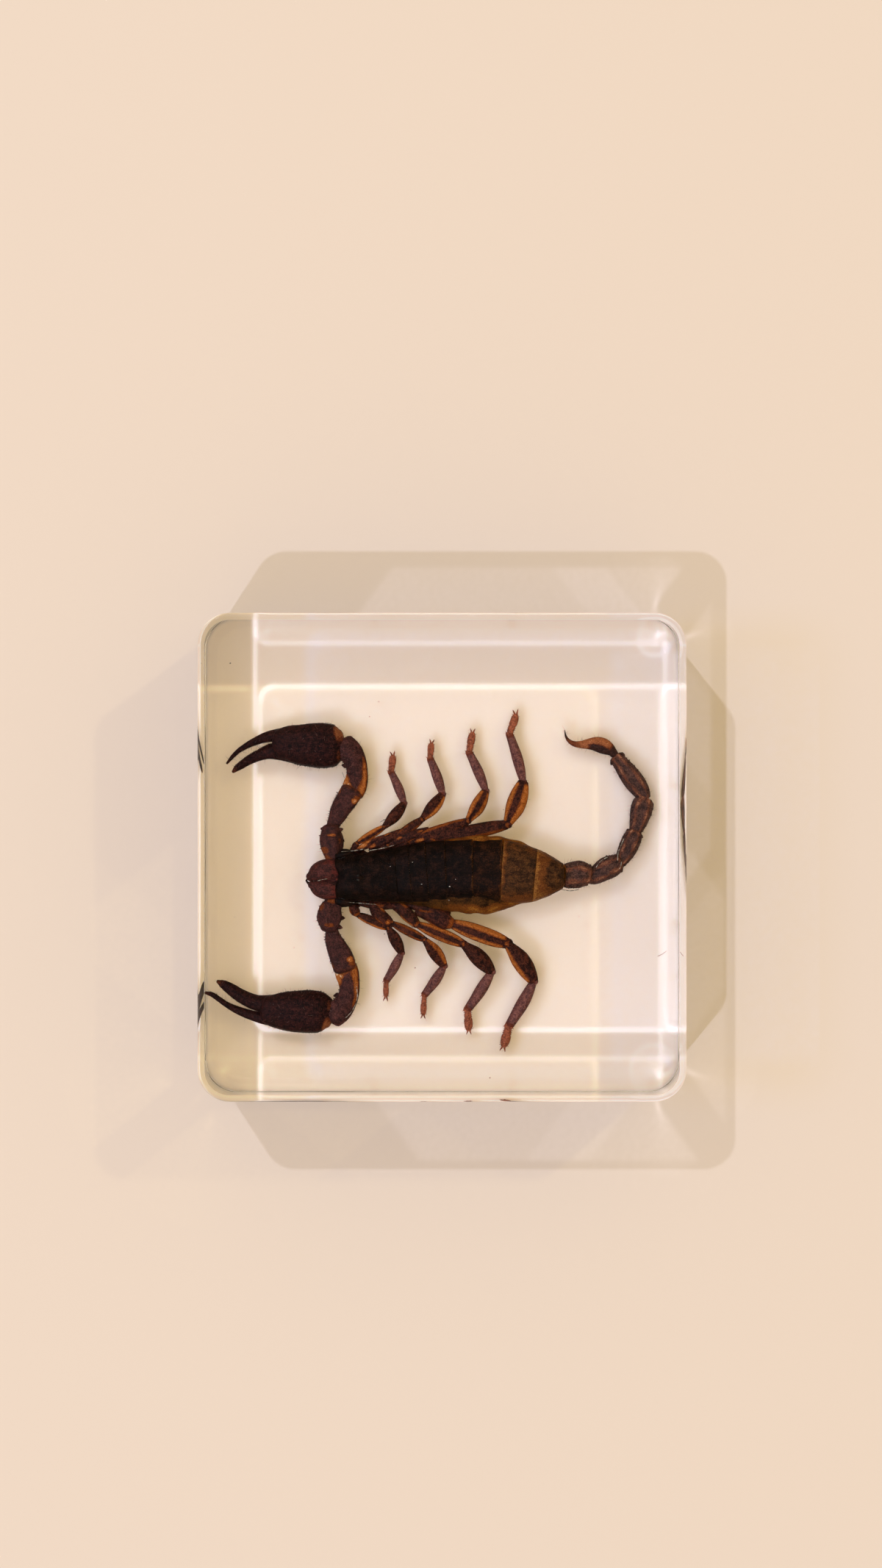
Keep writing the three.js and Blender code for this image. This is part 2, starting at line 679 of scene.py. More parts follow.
def makeBlock():
    # each ring: how far it is drawn in, its height, and how its normals lift and lean out
    rings = []
    foot = resin["footRadius"]
    for k in range(resin["edgeSteps"] + 1):
        lean = math.pi / 2 * k / resin["edgeSteps"]
        lift, out = math.cos(lean), math.sin(lean)
        rings.append((foot * (1 - out), foot * (1 - lift), -lift, out))
    edge = topEdge()
    for out, drop, tilt in reversed(edge):
        rings.append((edge[-1][0] - out, resin["thickness"] - drop, math.cos(tilt), math.sin(tilt)))
    verts, normals = [], []
    for inset, z, lift, out in rings:
        for x, y, facing in roundBlock(inset):
            verts.append((x, y, z * mm))
            normals.append((facing[0] * out, facing[1] * out, lift))
    count = len(verts) // len(rings)
    faces = ringFaces(len(rings), count)
    faces.append(tuple(reversed(range(count))))
    faces.append(tuple(range((len(rings) - 1) * count, len(rings) * count)))
    mesh = bpy.data.meshes.new("resinBlock")
    mesh.from_pydata(verts, [], faces)
    for polygon in mesh.polygons:
        polygon.use_smooth = True
    mesh.normals_split_custom_set_from_vertices(normals)
    mesh.materials.append(resinMaterial())
    block = intoScene("resinBlock", mesh)
    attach(block, "root")
    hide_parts("resin_block")


def makeShade():
    # Only lamps' shadows see this. It keeps the lamps' straight light off the floor that the block
    # covers or shades; the light that the resin bends is worked out by followLight().
    clear = 0.02  # it stands this far inside the walls and above the floor
    shoulder = resin["thickness"] - topEdge()[-1][1]
    verts = []
    for x, y, _ in roundBlock(clear):
        verts += [(x, y, clear * mm), (x, y, shoulder * mm)]
    count = len(verts) // 2
    faces = [tuple(range(0, count * 2, 2))]
    for i in range(count):
        k = (i + 1) % count
        faces.append((i * 2, k * 2, k * 2 + 1, i * 2 + 1))
    mesh = bpy.data.meshes.new("wallShade")
    mesh.from_pydata(verts, [], faces)
    s = Shading("wall shade")
    inner = s.node("ShaderNodeNewGeometry", {}, {}, "Backfacing")
    normal = s.node("ShaderNodeNewGeometry", {}, {}, "True Normal")
    upright = s.node("ShaderNodeSeparateXYZ", {}, {0: normal}, "Z")
    wall = 1.0 - s.node("ShaderNodeMath", {"operation": "ABSOLUTE"}, {0: upright})
    stops = s.node("ShaderNodeBsdfDiffuse", {}, {"Color": rgb(0, 0, 0)})
    passes = s.node("ShaderNodeBsdfTransparent")
    mesh.materials.append(s.close(s.node("ShaderNodeMixShader", {}, {0: inner * wall, 1: stops, 2: passes})))
    shade = intoScene("wallShade", mesh)
    for kind in ("camera", "diffuse", "glossy", "transmission", "volume_scatter"):
        setattr(shade, "visible_" + kind, False)


makeBlock()
makeShade()
print("block cast")


# trunk

trunk = {
    "middleZ": 6.7,
    "flankHeight": 2.9,  # half height of the soft flanks at the widest
    "plateZ": 7.2,
    "plateHeight": 3.15,
    "lip": 0.10,  # how far each plate's rear edge stands over the next
}

# x, y and half width of the soft body, which shows below and behind the plates
bodyOutline = [
    (-14.9, -2.94, 3.16), (-10.9, -2.88, 3.67), (-7.0, -2.6, 4.25), (-3.0, -2.45, 4.9),
    (0.6, -2.54, 5.45), (4.6, -2.5, 5.95), (7.0, -2.43, 5.98), (8.8, -2.28, 5.65),
    (10.8, -2.25, 5.17), (13.1, -2.45, 4.38), (15.8, -2.57, 3.45), (17.6, -2.58, 2.42), (18.6, -2.65, 1.7),
]
# the same for the row of plates over the back
backOutline = [
    (-16.1, -3.05, 3.50), (-11.5, -2.80, 3.72), (-7.2, -2.51, 4.12), (-4.7, -2.30, 4.48),
    (-2.4, -2.10, 4.62), (0.6, -1.95, 4.72), (4.6, -1.88, 4.86), (9.0, -2.00, 4.95),
    (11.1, -2.22, 4.75), (14.1, -2.54, 3.98), (16.2, -2.66, 3.20), (18.6, -2.65, 1.84),
]
plateEdges = [-7.2, -5.0, -2.4, 0.5, 4.6, 9.0, 14.1, 18.5]
# the lighter bands across each plate, as banded() takes them
plateBands = [
    [], [(0.94, 1.1, 0.14)], [(0.94, 1.1, 0.24)], [(0.92, 1.1, 0.38)], [(0.84, 1.5, 0.52)],
    [(-0.30, 0.20, 0.70), (0.86, 1.6, 0.40)], [(-0.40, 0.34, 0.90)],
]
plateFinish = ["black cuticle"] * 4 + ["dark tergite"] + ["brown tergite"] * 2


def outlineAt(outline, x):
    rows = np.array(outline)
    return float(np.interp(x, rows[:, 0], rows[:, 1])), float(np.interp(x, rows[:, 0], rows[:, 2]))


def makeTrunk():
    widest = max(row[2] for row in bodyOutline)
    stations = []
    for x, y, halfWidth in bodyOutline:
        tall = trunk["flankHeight"] * (halfWidth / widest) ** 0.6
        stations.append((x, y, trunk["middleZ"], halfWidth, tall))

    def flank(along, around):
        # painted light: brightest on the side that faces the light below the rear plates
        aside = np.abs(np.cos(around))
        glow = eased(along, 0.30, 0.60) * eased(aside, 0.62, 0.90) * 0.80
        return glow * (0.75 + 0.25 * np.sin(along * 47 + around * 5) * np.sin(along * 19))

    def folds(along, around):
        creases = np.sin(along * 2 * math.pi * 13) * 0.010 + np.sin(along * 60 + around * 3) * 0.006
        return 1 + creases * eased(along, 0.2, 0.4)

    body = tube(stations, sides=72, rings=130, paint=flank, shape=folds, square=2.2, caps=(0.4, 0.3))
    makePiece("flankMembrane", [body], ["flank membrane"], grain=(0.5, 0.10))

    for number in range(7):
        start, end = plateEdges[number], plateEdges[number + 1]
        stations = []
        for share in (0.0, 0.3, 0.7, 0.93, 1.0):
            x = start + (end - start) * share
            y, halfWidth = outlineAt(backOutline, x)
            lift = trunk["lip"] * (-1.0 + 2.0 * share)
            tall = trunk["plateHeight"] * (halfWidth / 4.9) ** 0.55 + lift
            stations.append((x, y, trunk["plateZ"], halfWidth + lift * 0.6, tall))
        rear = number >= 5

        def paint(along, around):
            # the bands waver across the back, and the sides of the rear plates are lighter
            wavering = along + 0.035 * np.sin(around * 9 + number) + 0.02 * np.sin(around * 23)
            strength = banded(*plateBands[number])(wavering, around)
            if rear:
                sides = eased(np.abs(np.cos(around)), 0.25, 0.95)
                lower = 1.0 + 0.25 * np.sign(np.cos(around))
                glow = 0.36 * sides * lower
                if number == 6:
                    glow = glow * 0.6 + 0.42 * (1 - eased(along, 0.20, 0.75))
                strength = np.maximum(strength, glow)
            return strength

        def scored(along, around):
            # a faint ridge down the middle and grains towards the rear edge
            ridge = np.exp(-((np.sin(around) - 1) ** 2) / 0.0004) * 0.010
            return 1 + ridge + 0.004 * np.sin(around * 46) * eased(along, 0.6, 1.0)

        plate = tube(stations, sides=96, rings=26, paint=paint, shape=scored, square=2.25, caps=(0.05, 0.06))
        parts = [plate]
        # a row of grains along the rear edge, and some scattered before it
        for j in range(3, 46):
            if dice.random() < 0.7 and not rear:
                radius, amber = dice.uniform(0.03, 0.06), dice.uniform(0.2, 0.9)
                parts.append(spike(plate["grid"][-4, j], (0.3, 0, 1), radius, 0.07, amber))
        for _ in range(60 if number > 1 else 25):
            i, j = dice.randrange(14, 26), dice.randrange(6, 43)
            radius, amber = dice.uniform(0.03, 0.06), dice.uniform(0.0, 0.3)
            parts.append(spike(plate["grid"][i, j], (0, 0, 1), radius, 0.05, amber))
        depth = 0.05 if rear else 0.07
        makePiece("tergite" + str(number + 1), parts, [plateFinish[number]], grain=(0.35, depth))


def makeCarapace():
    stations = []
    for x in (-16.3, -15.6, -14.0, -12.0, -9.5, -7.8, -7.05):
        y, halfWidth = outlineAt(backOutline, max(x, -16.1))
        front = min((x + 16.9) / 2.2, 1.0)
        wide, tall = halfWidth * (0.90 + 0.10 * front), 2.05 + 0.95 * front**0.7
        stations.append((x, y, trunk["plateZ"] - 0.1, wide, tall))

    def grooved(along, around):
        top = np.sin(around)
        groove = np.exp(-((np.cos(around)) ** 2) / 0.004) * eased(top, 0.2, 0.6)
        hollow = eased(along, 0.05, 0.3) * 0.045
        dents = 0.03 * np.exp(-((np.abs(np.cos(around)) - 0.55) ** 2) / 0.01) * eased(along, 0.55, 0.95)
        return 1 - groove * hollow - dents

    shell = tube(stations, sides=96, rings=70, shape=grooved, square=2.5, caps=(0.18, 0.06))
    # the front edge is drawn back in the middle
    edge = shell["verts"]
    backX = sunk(-16.3, 0, 12)[0]
    near = np.clip(1 - (edge[:, 0] - backX + 0.6) / 2.4, 0, 1)
    notch = np.exp(-((edge[:, 1] + 3.1) ** 2) / 1.6)
    edge[:, 0] += near * notch * 0.75
    parts = [shell]
    top = trunk["plateZ"] + 2.9
    # median eyes on their low hill, and three small eyes at each front corner
    parts.append(tube(
        [(-13.6, -2.95, top - 0.12, 0.2, 0.2), (-13.0, -2.95, top, 0.55, 0.28),
         (-12.2, -2.93, top - 0.1, 0.25, 0.2)],
        sides=24, rings=14,
    ))
    for aside in (-0.34, 0.34):
        parts.append(tube(
            [(-13.15, -2.95 + aside, top + 0.16, 0.14, 0.16), (-12.9, -2.95 + aside, top + 0.18, 0.16, 0.18)],
            sides=16, rings=5, caps=(1, 1), finishNo=1,
        ))
    for side in (-1, 1):
        for k in range(3):
            x = -15.9 + k * 0.36
            y = -3.02 + side * (3.0 + 0.10 * k)
            parts.append(tube(
                [(x, y, top - 1.35, 0.10, 0.10), (x + 0.10, y, top - 1.33, 0.11, 0.11)],
                sides=12, rings=4, caps=(1, 1), finishNo=1,
            ))
    # the dark hips of the arms below its front corners
    for side in (-1, 1):
        parts.append(tube(
            [(-13.4, -3.0 + side * 2.9, 6.4, 1.0, 1.3), (-15.0, -3.0 + side * 3.35, 6.5, 1.12, 1.5),
             (-16.35, -3.0 + side * 3.2, 6.6, 0.9, 1.3)],
            sides=36, rings=26, square=2.6, shape=lumpy(91 + side, 0.05, ridged(5, 0.06)), caps=(0.5, 0.4),
        ))
    # granules scattered over the rear corners
    for _ in range(420):
        i = dice.randrange(10, 68)
        j = dice.randrange(4, 44)
        point = shell["grid"][i, j]
        radius, length = dice.uniform(0.05, 0.10), dice.uniform(0.05, 0.10)
        parts.append(spike(point, (0, (point[1] + 3) * 0.15, 1), radius, length))
    makePiece("carapace", parts, ["black cuticle", "eye lens"], grain=(0.3, 0.08))


def makeUnderside():
    # plates of the belly, the hip plates of the legs and the pair of combs
    parts = []
    for number, (start, end) in enumerate(((-3.5, 0.2), (0.2, 4.0), (4.0, 8.2), (8.2, 12.6), (12.6, 17.6))):
        stations = []
        for share in (0.0, 0.5, 0.93, 1.0):
            x = start + (end - start) * share
            y, halfWidth = outlineAt(bodyOutline, x)
            lift = 0.10 * (2 * share - 1)
            stations.append((x, y, 6.0, halfWidth * 0.86, 2.75 * (halfWidth / 6) ** 0.5 + lift))
        parts.append(tube(
            stations, sides=64, rings=18, square=2.3, caps=(0.05, 0.05), shape=lumpy(40 + number, 0.01),
        ))
    makePiece("sternites", parts, ["brown tergite"], grain=(0.4, 0.05))
    hips = []
    for side in (-1, 1):
        for k, (rootX, width) in enumerate(((-13.6, 0.85), (-10.6, 0.9), (-7.9, 1.0), (-4.6, 1.15))):
            hips.append(tube(
                [(-8.6 + k * 0.75, -2.8 + side * 0.45, 4.1, width * 0.45, 0.5),
                 ((rootX - 8.6 + k * 0.75) / 2, -2.8 + side * 2.3, 4.2, width, 0.8),
                 (rootX, -2.8 + side * 4.3, 5.5, width * 0.9, 0.85)],
                sides=28, rings=26, square=2.4, shape=lumpy(60 + k + side, 0.03),
            ))
    hips.append(tube(
        [(-8.0, -2.8, 4.0, 0.5, 0.4), (-6.8, -2.8, 3.9, 0.85, 0.5), (-5.9, -2.8, 4.0, 0.6, 0.4)],
        sides=20, rings=14,
    ))
    makePiece("hipPlates", hips, ["leg cuticle"], grain=(0.4, 0.06))
    combs = []
    for side in (-1, 1):
        bend = [(-5.6, 0.6, 3.8), (-4.4, 2.6, 3.7), (-3.4, 4.4, 3.8)]
        spine = smoothPath([(x, -2.8 + side * aside, z) for x, aside, z in bend], 16)
        combs.append(tube([(*p, 0.32, 0.22) for p in spine[::5]], sides=14, rings=20))
        for x, y, z in spine:
            for reach in (0.35, 0.75, 1.15):
                combs.append(tube(
                    [(x + 0.1, y, z, 0.12, 0.10), (x + reach, y - side * 0.12, z - 0.05, 0.10, 0.09)],
                    sides=8, rings=4,
                ))
    makePiece("combs", combs, ["jaw cuticle"])


def makeJaws():
    z = 7.2
    lobes = {
        "upperJaw": [(-15.2, -1.9, z, 1.35, 1.2), (-16.4, -1.80, z + 0.1, 1.65, 1.45),
                     (-18.0, -1.92, z + 0.1, 1.74, 1.55), (-19.4, -2.28, z, 1.37, 1.3),
                     (-20.3, -2.80, z - 0.1, 0.72, 0.8)],
        "lowerJaw": [(-15.2, -4.65, z, 1.15, 1.2), (-16.4, -4.76, z + 0.1, 1.40, 1.45),
                     (-18.0, -4.76, z + 0.1, 1.48, 1.5), (-19.2, -4.48, z, 1.19, 1.25),
                     (-20.1, -4.00, z - 0.1, 0.62, 0.75)],
    }
    for k, (name, stations) in enumerate(lobes.items()):
        inner = 1 if name == "upperJaw" else -1
        parts = [tube(
            stations, sides=40, rings=44, square=2.2, shape=lumpy(11 + k, 0.035), caps=(0.4, 0.9),
            paint=spotted(
                (0.06, 1.57 - inner * 0.9, 0.14, 0.50, 0.80), (0.20, 1.57, 0.24, 0.70, 0.32),
                (0.34, 1.57 - inner * 0.8, 0.26, 0.40, 0.34), (0.60, 1.57 + inner * 0.5, 0.22, 0.30, 0.22),
            ),
        )]
        if inner < 0:
            # the skin between the two, bare for a little way at its base
            parts.append(tube(
                [(-15.6, -3.15, 7.5, 0.45, 0.7), (-16.5, -3.15, 7.6, 0.50, 0.75),
                 (-18.0, -3.25, 7.0, 0.45, 0.7), (-19.4, -3.35, 6.5, 0.30, 0.5)],
                sides=20, rings=24, shape=lumpy(19, 0.08), paint=spotted((0.15, 1.57, 0.07, 0.6, 1.0)),
            ))
        tipY = stations[-1][1]
        for reach, drop in ((0.0, 0.0), (0.25, -0.5)):
            parts.append(tube(
                [(-20.0, tipY + inner * 0.12, z + drop, 0.34, 0.34),
                 (-20.6, tipY - inner * 0.22, z + drop - 0.1, 0.22, 0.24),
                 (-20.95 - reach * 0.2, tipY - inner * 0.62, z + drop - 0.15, 0.08, 0.09)],
                sides=14, rings=14, finishNo=1,
            ))
        makePiece(name, parts, ["jaw cuticle", "black cuticle"], grain=(0.35, 0.07))


makeTrunk()
makeCarapace()
makeUnderside()
makeJaws()
print("trunk made")


# walking legs

# joints: root, thigh start, thigh end, elbow, shin end, foot end, claw tip; widths across thigh, knee, shin
# and foot; how amber the left and right of the thigh and of the knee are, partly real colour and partly
# painted light through the thin sides, and the core's place
legs = {
    "upperLeg1": {
        "joints": [(-14.0, 1.1), (-13.1, 2.4), (-9.0, 4.85), (-5.9, 8.5), (-7.9, 13.3), (-7.6, 15.8),
                   (-7.7, 16.5)],
        "widths": (1.19, 1.75, 1.36, 1.13), "thigh": (0.95, 0.75, 0.25), "knee": (0.0, 0.18, 0.0),
    },
    "upperLeg2": {
        "joints": [(-10.2, 0.5), (-8.4, 2.2), (-3.2, 6.0), (0.0, 9.9), (-1.9, 15.35), (-1.7, 17.7),
                   (-1.6, 18.35)],
        "widths": (1.47, 1.92, 1.47, 1.02), "thigh": (0.3, 0.35, 0.0), "knee": (0.0, 1.0, 0.05),
    },
    "upperLeg3": {
        "joints": [(-7.6, 0.9), (-5.2, 2.8), (3.85, 5.75), (6.65, 10.4), (4.1, 16.3), (4.6, 19.3),
                   (4.65, 20.0)],
        "widths": (1.69, 2.09, 1.52, 1.19), "thigh": (0.5, 0.25, 0.0), "knee": (0.85, 0.75, 0.05),
    },
    "upperLeg4": {
        "joints": [(-3.4, 1.1), (-1.4, 3.0), (9.9, 5.2), (12.4, 11.75), (10.3, 19.1), (11.3, 22.1),
                   (11.2, 22.9)],
        "widths": (2.15, 2.82, 1.58, 1.24), "thigh": (0.1, 0.55, 0.1), "knee": (0.9, 1.0, -0.12),
    },
    "lowerLeg1": {
        "joints": [(-14.2, -6.5), (-13.1, -8.6), (-8.4, -10.6), (-6.3, -14.5), (-8.65, -18.75),
                   (-8.7, -21.2), (-8.75, -21.9)],
        "widths": (1.47, 1.75, 1.41, 0.90), "thigh": (0.2, 0.8, 0.1), "knee": (0.0, 0.15, 0.0), "hip": 1.05,
    },
    "lowerLeg2": {
        "joints": [(-10.4, -7.2), (-7.8, -9.9), (-2.8, -12.4), (0.25, -16.5), (-2.8, -21.0),
                   (-2.95, -23.95), (-3.0, -24.6)],
        "widths": (1.40, 1.98, 1.52, 0.96), "thigh": (0.55, 0.35, 0.0), "knee": (0.75, 0.2, 0.15),
    },
    "lowerLeg3": {
        "joints": [(-6.4, -7.5), (-3.9, -10.1), (3.15, -13.1), (7.55, -17.4), (3.85, -23.15), (4.05, -26.3),
                   (4.05, -27.0)],
        "widths": (1.92, 2.43, 1.69, 1.30), "thigh": (0.95, 0.7, 0.0), "knee": (0.0, 0.0, 0.0),
    },
    "lowerLeg4": {
        "joints": [(-3.9, -7.95), (1.35, -9.95), (9.9, -13.0), (14.0, -18.85), (10.2, -25.75), (9.4, -28.8),
                   (9.2, -29.6)],
        "widths": (2.54, 2.71, 1.81, 1.47), "thigh": (1.0, 0.85, 0.1), "knee": (0.0, 0.95, 0.15), "hip": 1.08,
    },
}
# the crowded lumps of the hip joints between body and thighs: stations of x, y and half width, and their
# marks
hipLumps = {
    "upperLeg1": (
        [(-13.1, 1.45, 0.38), (-11.5, 2.15, 0.58), (-9.95, 2.88, 0.52), (-8.9, 3.45, 0.30)],
        spotted((0.20, 1.9, 0.20, 0.8, 1.1), (0.42, 2.4, 0.16, 0.7, 0.9), (0.75, 2.6, 0.2, 0.5, 0.4)),
    ),
    "upperLeg2": (
        [(-11.2, 1.75, 0.50), (-9.4, 2.55, 0.84), (-7.8, 3.35, 0.80), (-6.4, 4.15, 0.45)],
        spotted((0.10, 1.6, 0.12, 0.5, 0.6), (0.62, 2.4, 0.12, 0.25, 0.7), (0.85, 0.9, 0.14, 0.3, 0.6)),
    ),
    "upperLeg3": (
        [(-8.1, 2.15, 0.60), (-6.1, 2.95, 0.86), (-4.1, 3.75, 0.78), (-2.2, 4.45, 0.45)],
        spotted((0.28, 2.0, 0.10, 0.28, 0.70), (0.55, 0.8, 0.16, 0.3, 0.6), (0.80, 1.8, 0.12, 0.22, 0.6)),
    ),
    "upperLeg4": (
        [(-5.5, 2.20, 0.50), (-3.1, 3.00, 0.76), (-0.4, 3.62, 0.72), (2.0, 4.30, 0.62), (4.4, 4.30, 0.40)],
        spotted((0.20, 1.5, 0.09, 0.35, 0.85), (0.45, 0.8, 0.2, 0.4, 0.35), (0.68, 2.2, 0.07, 0.30, 1.0)),
    ),
    "lowerLeg1": (
        [(-12.6, -6.8, 0.50), (-11.2, -7.0, 0.62), (-9.0, -7.15, 0.70), (-7.4, -7.3, 0.50)],
        spotted((0.5, 1.5, 0.3, 0.5, 0.35)),
    ),
    "lowerLeg2": (
        [(-10.9, -6.9, 0.60), (-10.0, -8.1, 0.98), (-8.9, -9.3, 0.95), (-7.8, -10.2, 0.60)],
        spotted((0.35, 2.6, 0.2, 0.5, 0.75), (0.60, 0.6, 0.2, 0.4, 0.5), (0.85, 1.6, 0.1, 0.6, 0.7)),
    ),
    "lowerLeg3": (
        [(-7.6, -7.0, 0.65), (-6.3, -7.7, 0.95), (-5.0, -9.0, 1.00), (-3.9, -10.2, 0.62)],
        spotted((0.62, 0.35, 0.24, 0.45, 0.95), (0.85, 0.5, 0.14, 0.5, 1.05), (0.3, 2.4, 0.14, 0.5, 0.6)),
    ),
    "lowerLeg4": (
        [(-5.2, -6.9, 0.70), (-2.8, -7.45, 0.95), (-0.6, -7.8, 0.90), (1.0, -8.5, 0.50)],
        spotted((0.45, 0.9, 0.25, 0.5, 0.40), (0.2, 2.0, 0.1, 0.5, 0.55)),
    ),
}
# height of each joint, in the order of the joints above
legRise = {
    "root": 6.2,
    "thighStart": 6.6,
    "thighEnd": 6.4,
    "elbow": 5.0,
    "shinEnd": 3.4,
    "footEnd": 2.8,
    "claw": 2.5,
}
# half width by the share along each run, against its widest
runShape = {
    "hip": ((0.0, 0.50), (0.30, 0.72), (0.62, 1.0), (0.86, 0.92), (1.0, 0.66)),
    "thigh": ((0.0, 0.55), (0.22, 0.86), (0.55, 1.0), (0.85, 0.88), (1.0, 0.66)),
    "knee": ((0.0, 0.46), (0.12, 0.62), (0.42, 1.0), (0.72, 0.96), (0.93, 0.70), (1.0, 0.58)),
    "shin": ((0.0, 0.60), (0.18, 0.84), (0.45, 1.0), (0.80, 0.84), (1.0, 0.74)),
    "foot": ((0.0, 0.66), (0.3, 0.86), (0.62, 1.0), (0.88, 0.86), (1.0, 0.62)),
}


def run(start, end, width, kind, bow=0.0, flat=0.72):
    # stations along one straight run of a limb, bowed sideways by a share of its length
    start, end = np.array(start, float), np.array(end, float)
    way = end - start
    aside = unit(np.cross(way, (0, 0, 1)))
    length = float(np.linalg.norm(way))
    rows = []
    for share, wide in runShape[kind]:
        point = start + way * share + aside * bow * length * math.sin(share * math.pi)
        rows.append((*point, width / 2 * wide, width / 2 * wide * flat))
    return rows


def raised(rows, z, flat):
    return [(x, y, z, half, half * flat) for x, y, half in rows]


# share of the way to the tip, spread, drop and half width along one claw, against the claw's length
hook = ((-0.15, 0.10, 0.0, 0.20), (0.35, 0.24, 0.06, 0.16), (0.75, 0.40, 0.0, 0.10), (1.0, 0.46, -0.20, 0.04))


def clawPair(root, tip, finishNo):
    # two slim hooks that spread apart from the foot's end and turn down
    root, tip = np.array(root, float), np.array(tip, float)
    size = float(np.linalg.norm(tip - root))
    aside = unit(np.cross(tip - root, (0, 0, 1)))
    parts = []
    for side in (-1, 1):
        rows = []
        for share, spread, drop, wide in hook:
            point = root + (tip - root) * share + aside * side * size * spread + np.array((0, 0, drop * size))
            rows.append((*point, size * wide, size * wide))
        parts.append(tube(rows, sides=10, rings=14, finishNo=finishNo))
    return parts


def makeLeg(name, leg, seed):
    rises = list(legRise.values())
    joints = [(x, y, z) for (x, y), z in zip(leg["joints"], rises)]
    thigh, knee, shin, foot = leg["widths"]
    bowed = 1 if "upper" in name else -1
    hipMarks = spotted((0.55, 0.2, 0.3, 0.5, 0.8), (0.5, 2.9, 0.3, 0.5, 0.7))
    # the amber flanks of thigh, knee and shin are partly painted light shining through the thin cuticle
    parts = [
        tube(
            run(joints[0], joints[1], thigh * leg.get("hip", 0.86), "hip", flat=0.8),
            sides=32, rings=30, square=2.3, shape=lumpy(seed, 0.06, ridged(5, 0.07)),
            paint=layered(banded((0.84, 1.3, 0.55)), hipMarks),
        ),
        tube(
            run(joints[1], joints[2], thigh, "thigh", flat=0.62),
            sides=36, rings=44, square=2.3, shape=lumpy(seed + 1, 0.03, ridged(6, 0.05)),
            paint=flanksAmberAndGlow(*leg["thigh"], width=0.26),
        ),
        tube(
            run(joints[2], joints[3], knee, "knee", bow=bowed * 0.03, flat=0.60),
            sides=36, rings=46, square=2.3, shape=lumpy(seed + 2, 0.025, ridged(6, 0.05)),
            paint=flanksAmberAndGlow(*leg["knee"], width=0.24),
        ),
        tube(
            run(joints[3], joints[4], shin, "shin", bow=bowed * 0.02, flat=0.70),
            sides=28, rings=44, shape=lumpy(seed + 3, 0.035, ridged(6, 0.06)),
            paint=layered(banded((0.84, 1.3, 0.75)), flanksAmberAndGlow(0.20, 0.20, 0.0, 0.5)), finishNo=1,
        ),
        tube(
            run(joints[4], joints[5], foot, "foot", flat=0.74), sides=24, rings=44,
            shape=lumpy(seed + 4, 0.05, jointed(0.42, 0.16)), finishNo=2,
        ),
    ]
    lump, marks = hipLumps[name]
    parts.append(tube(
        raised(lump, legRise["root"] + 0.2, 0.85), sides=36, rings=44, square=2.4, paint=marks,
        shape=lumpy(seed + 6, 0.07, ridged(5, 0.08)),
    ))
    # the knob of each joint
    for at, width, number in ((2, thigh * 0.62, 0), (3, shin * 0.66, 1), (4, foot * 0.80, 2)):
        x, y, z = joints[at]
        ends = [(x + way * width * 0.28, y, z, width * 0.42, width * 0.36) for way in (-1, 1)]
        parts.append(tube(
            ends, sides=20, rings=8, caps=(0.9, 0.9), shape=lumpy(seed + 9, 0.06),
            paint=banded((-0.1, 1.1, 0.55)), finishNo=number,
        ))
    parts += clawPair(joints[5], joints[6], 2)
    # short spurs under the shin's end and rows of spines on the foot
    heel, toe = np.array(joints[4]), np.array(joints[5])
    along = unit(toe - heel)
    aside = unit(np.cross(along, (0, 0, 1)))
    for k in range(9):
        share = 0.15 + 0.8 * k / 8
        for side in (-1, 1):
            root = np.array(sunk(*(heel + (toe - heel) * share))) + aside * side * foot * 0.42
            parts.append(spike(root, aside * side + along * 0.9, 0.045, 0.20, finishNo=2))
    for side in (-1, 1):
        root = np.array(sunk(*heel)) + aside * side * foot * 0.42
        parts.append(spike(root, aside * side * 0.8 + along, 0.07, 0.42, finishNo=2))
    makePiece(name, parts, ["leg cuticle", "shin cuticle", "foot cuticle"], grain=(0.25, 0.045))


for number, (name, leg) in enumerate(legs.items()):
    makeLeg(name, leg, 100 + number * 10)
print("legs made")


# pincer arms

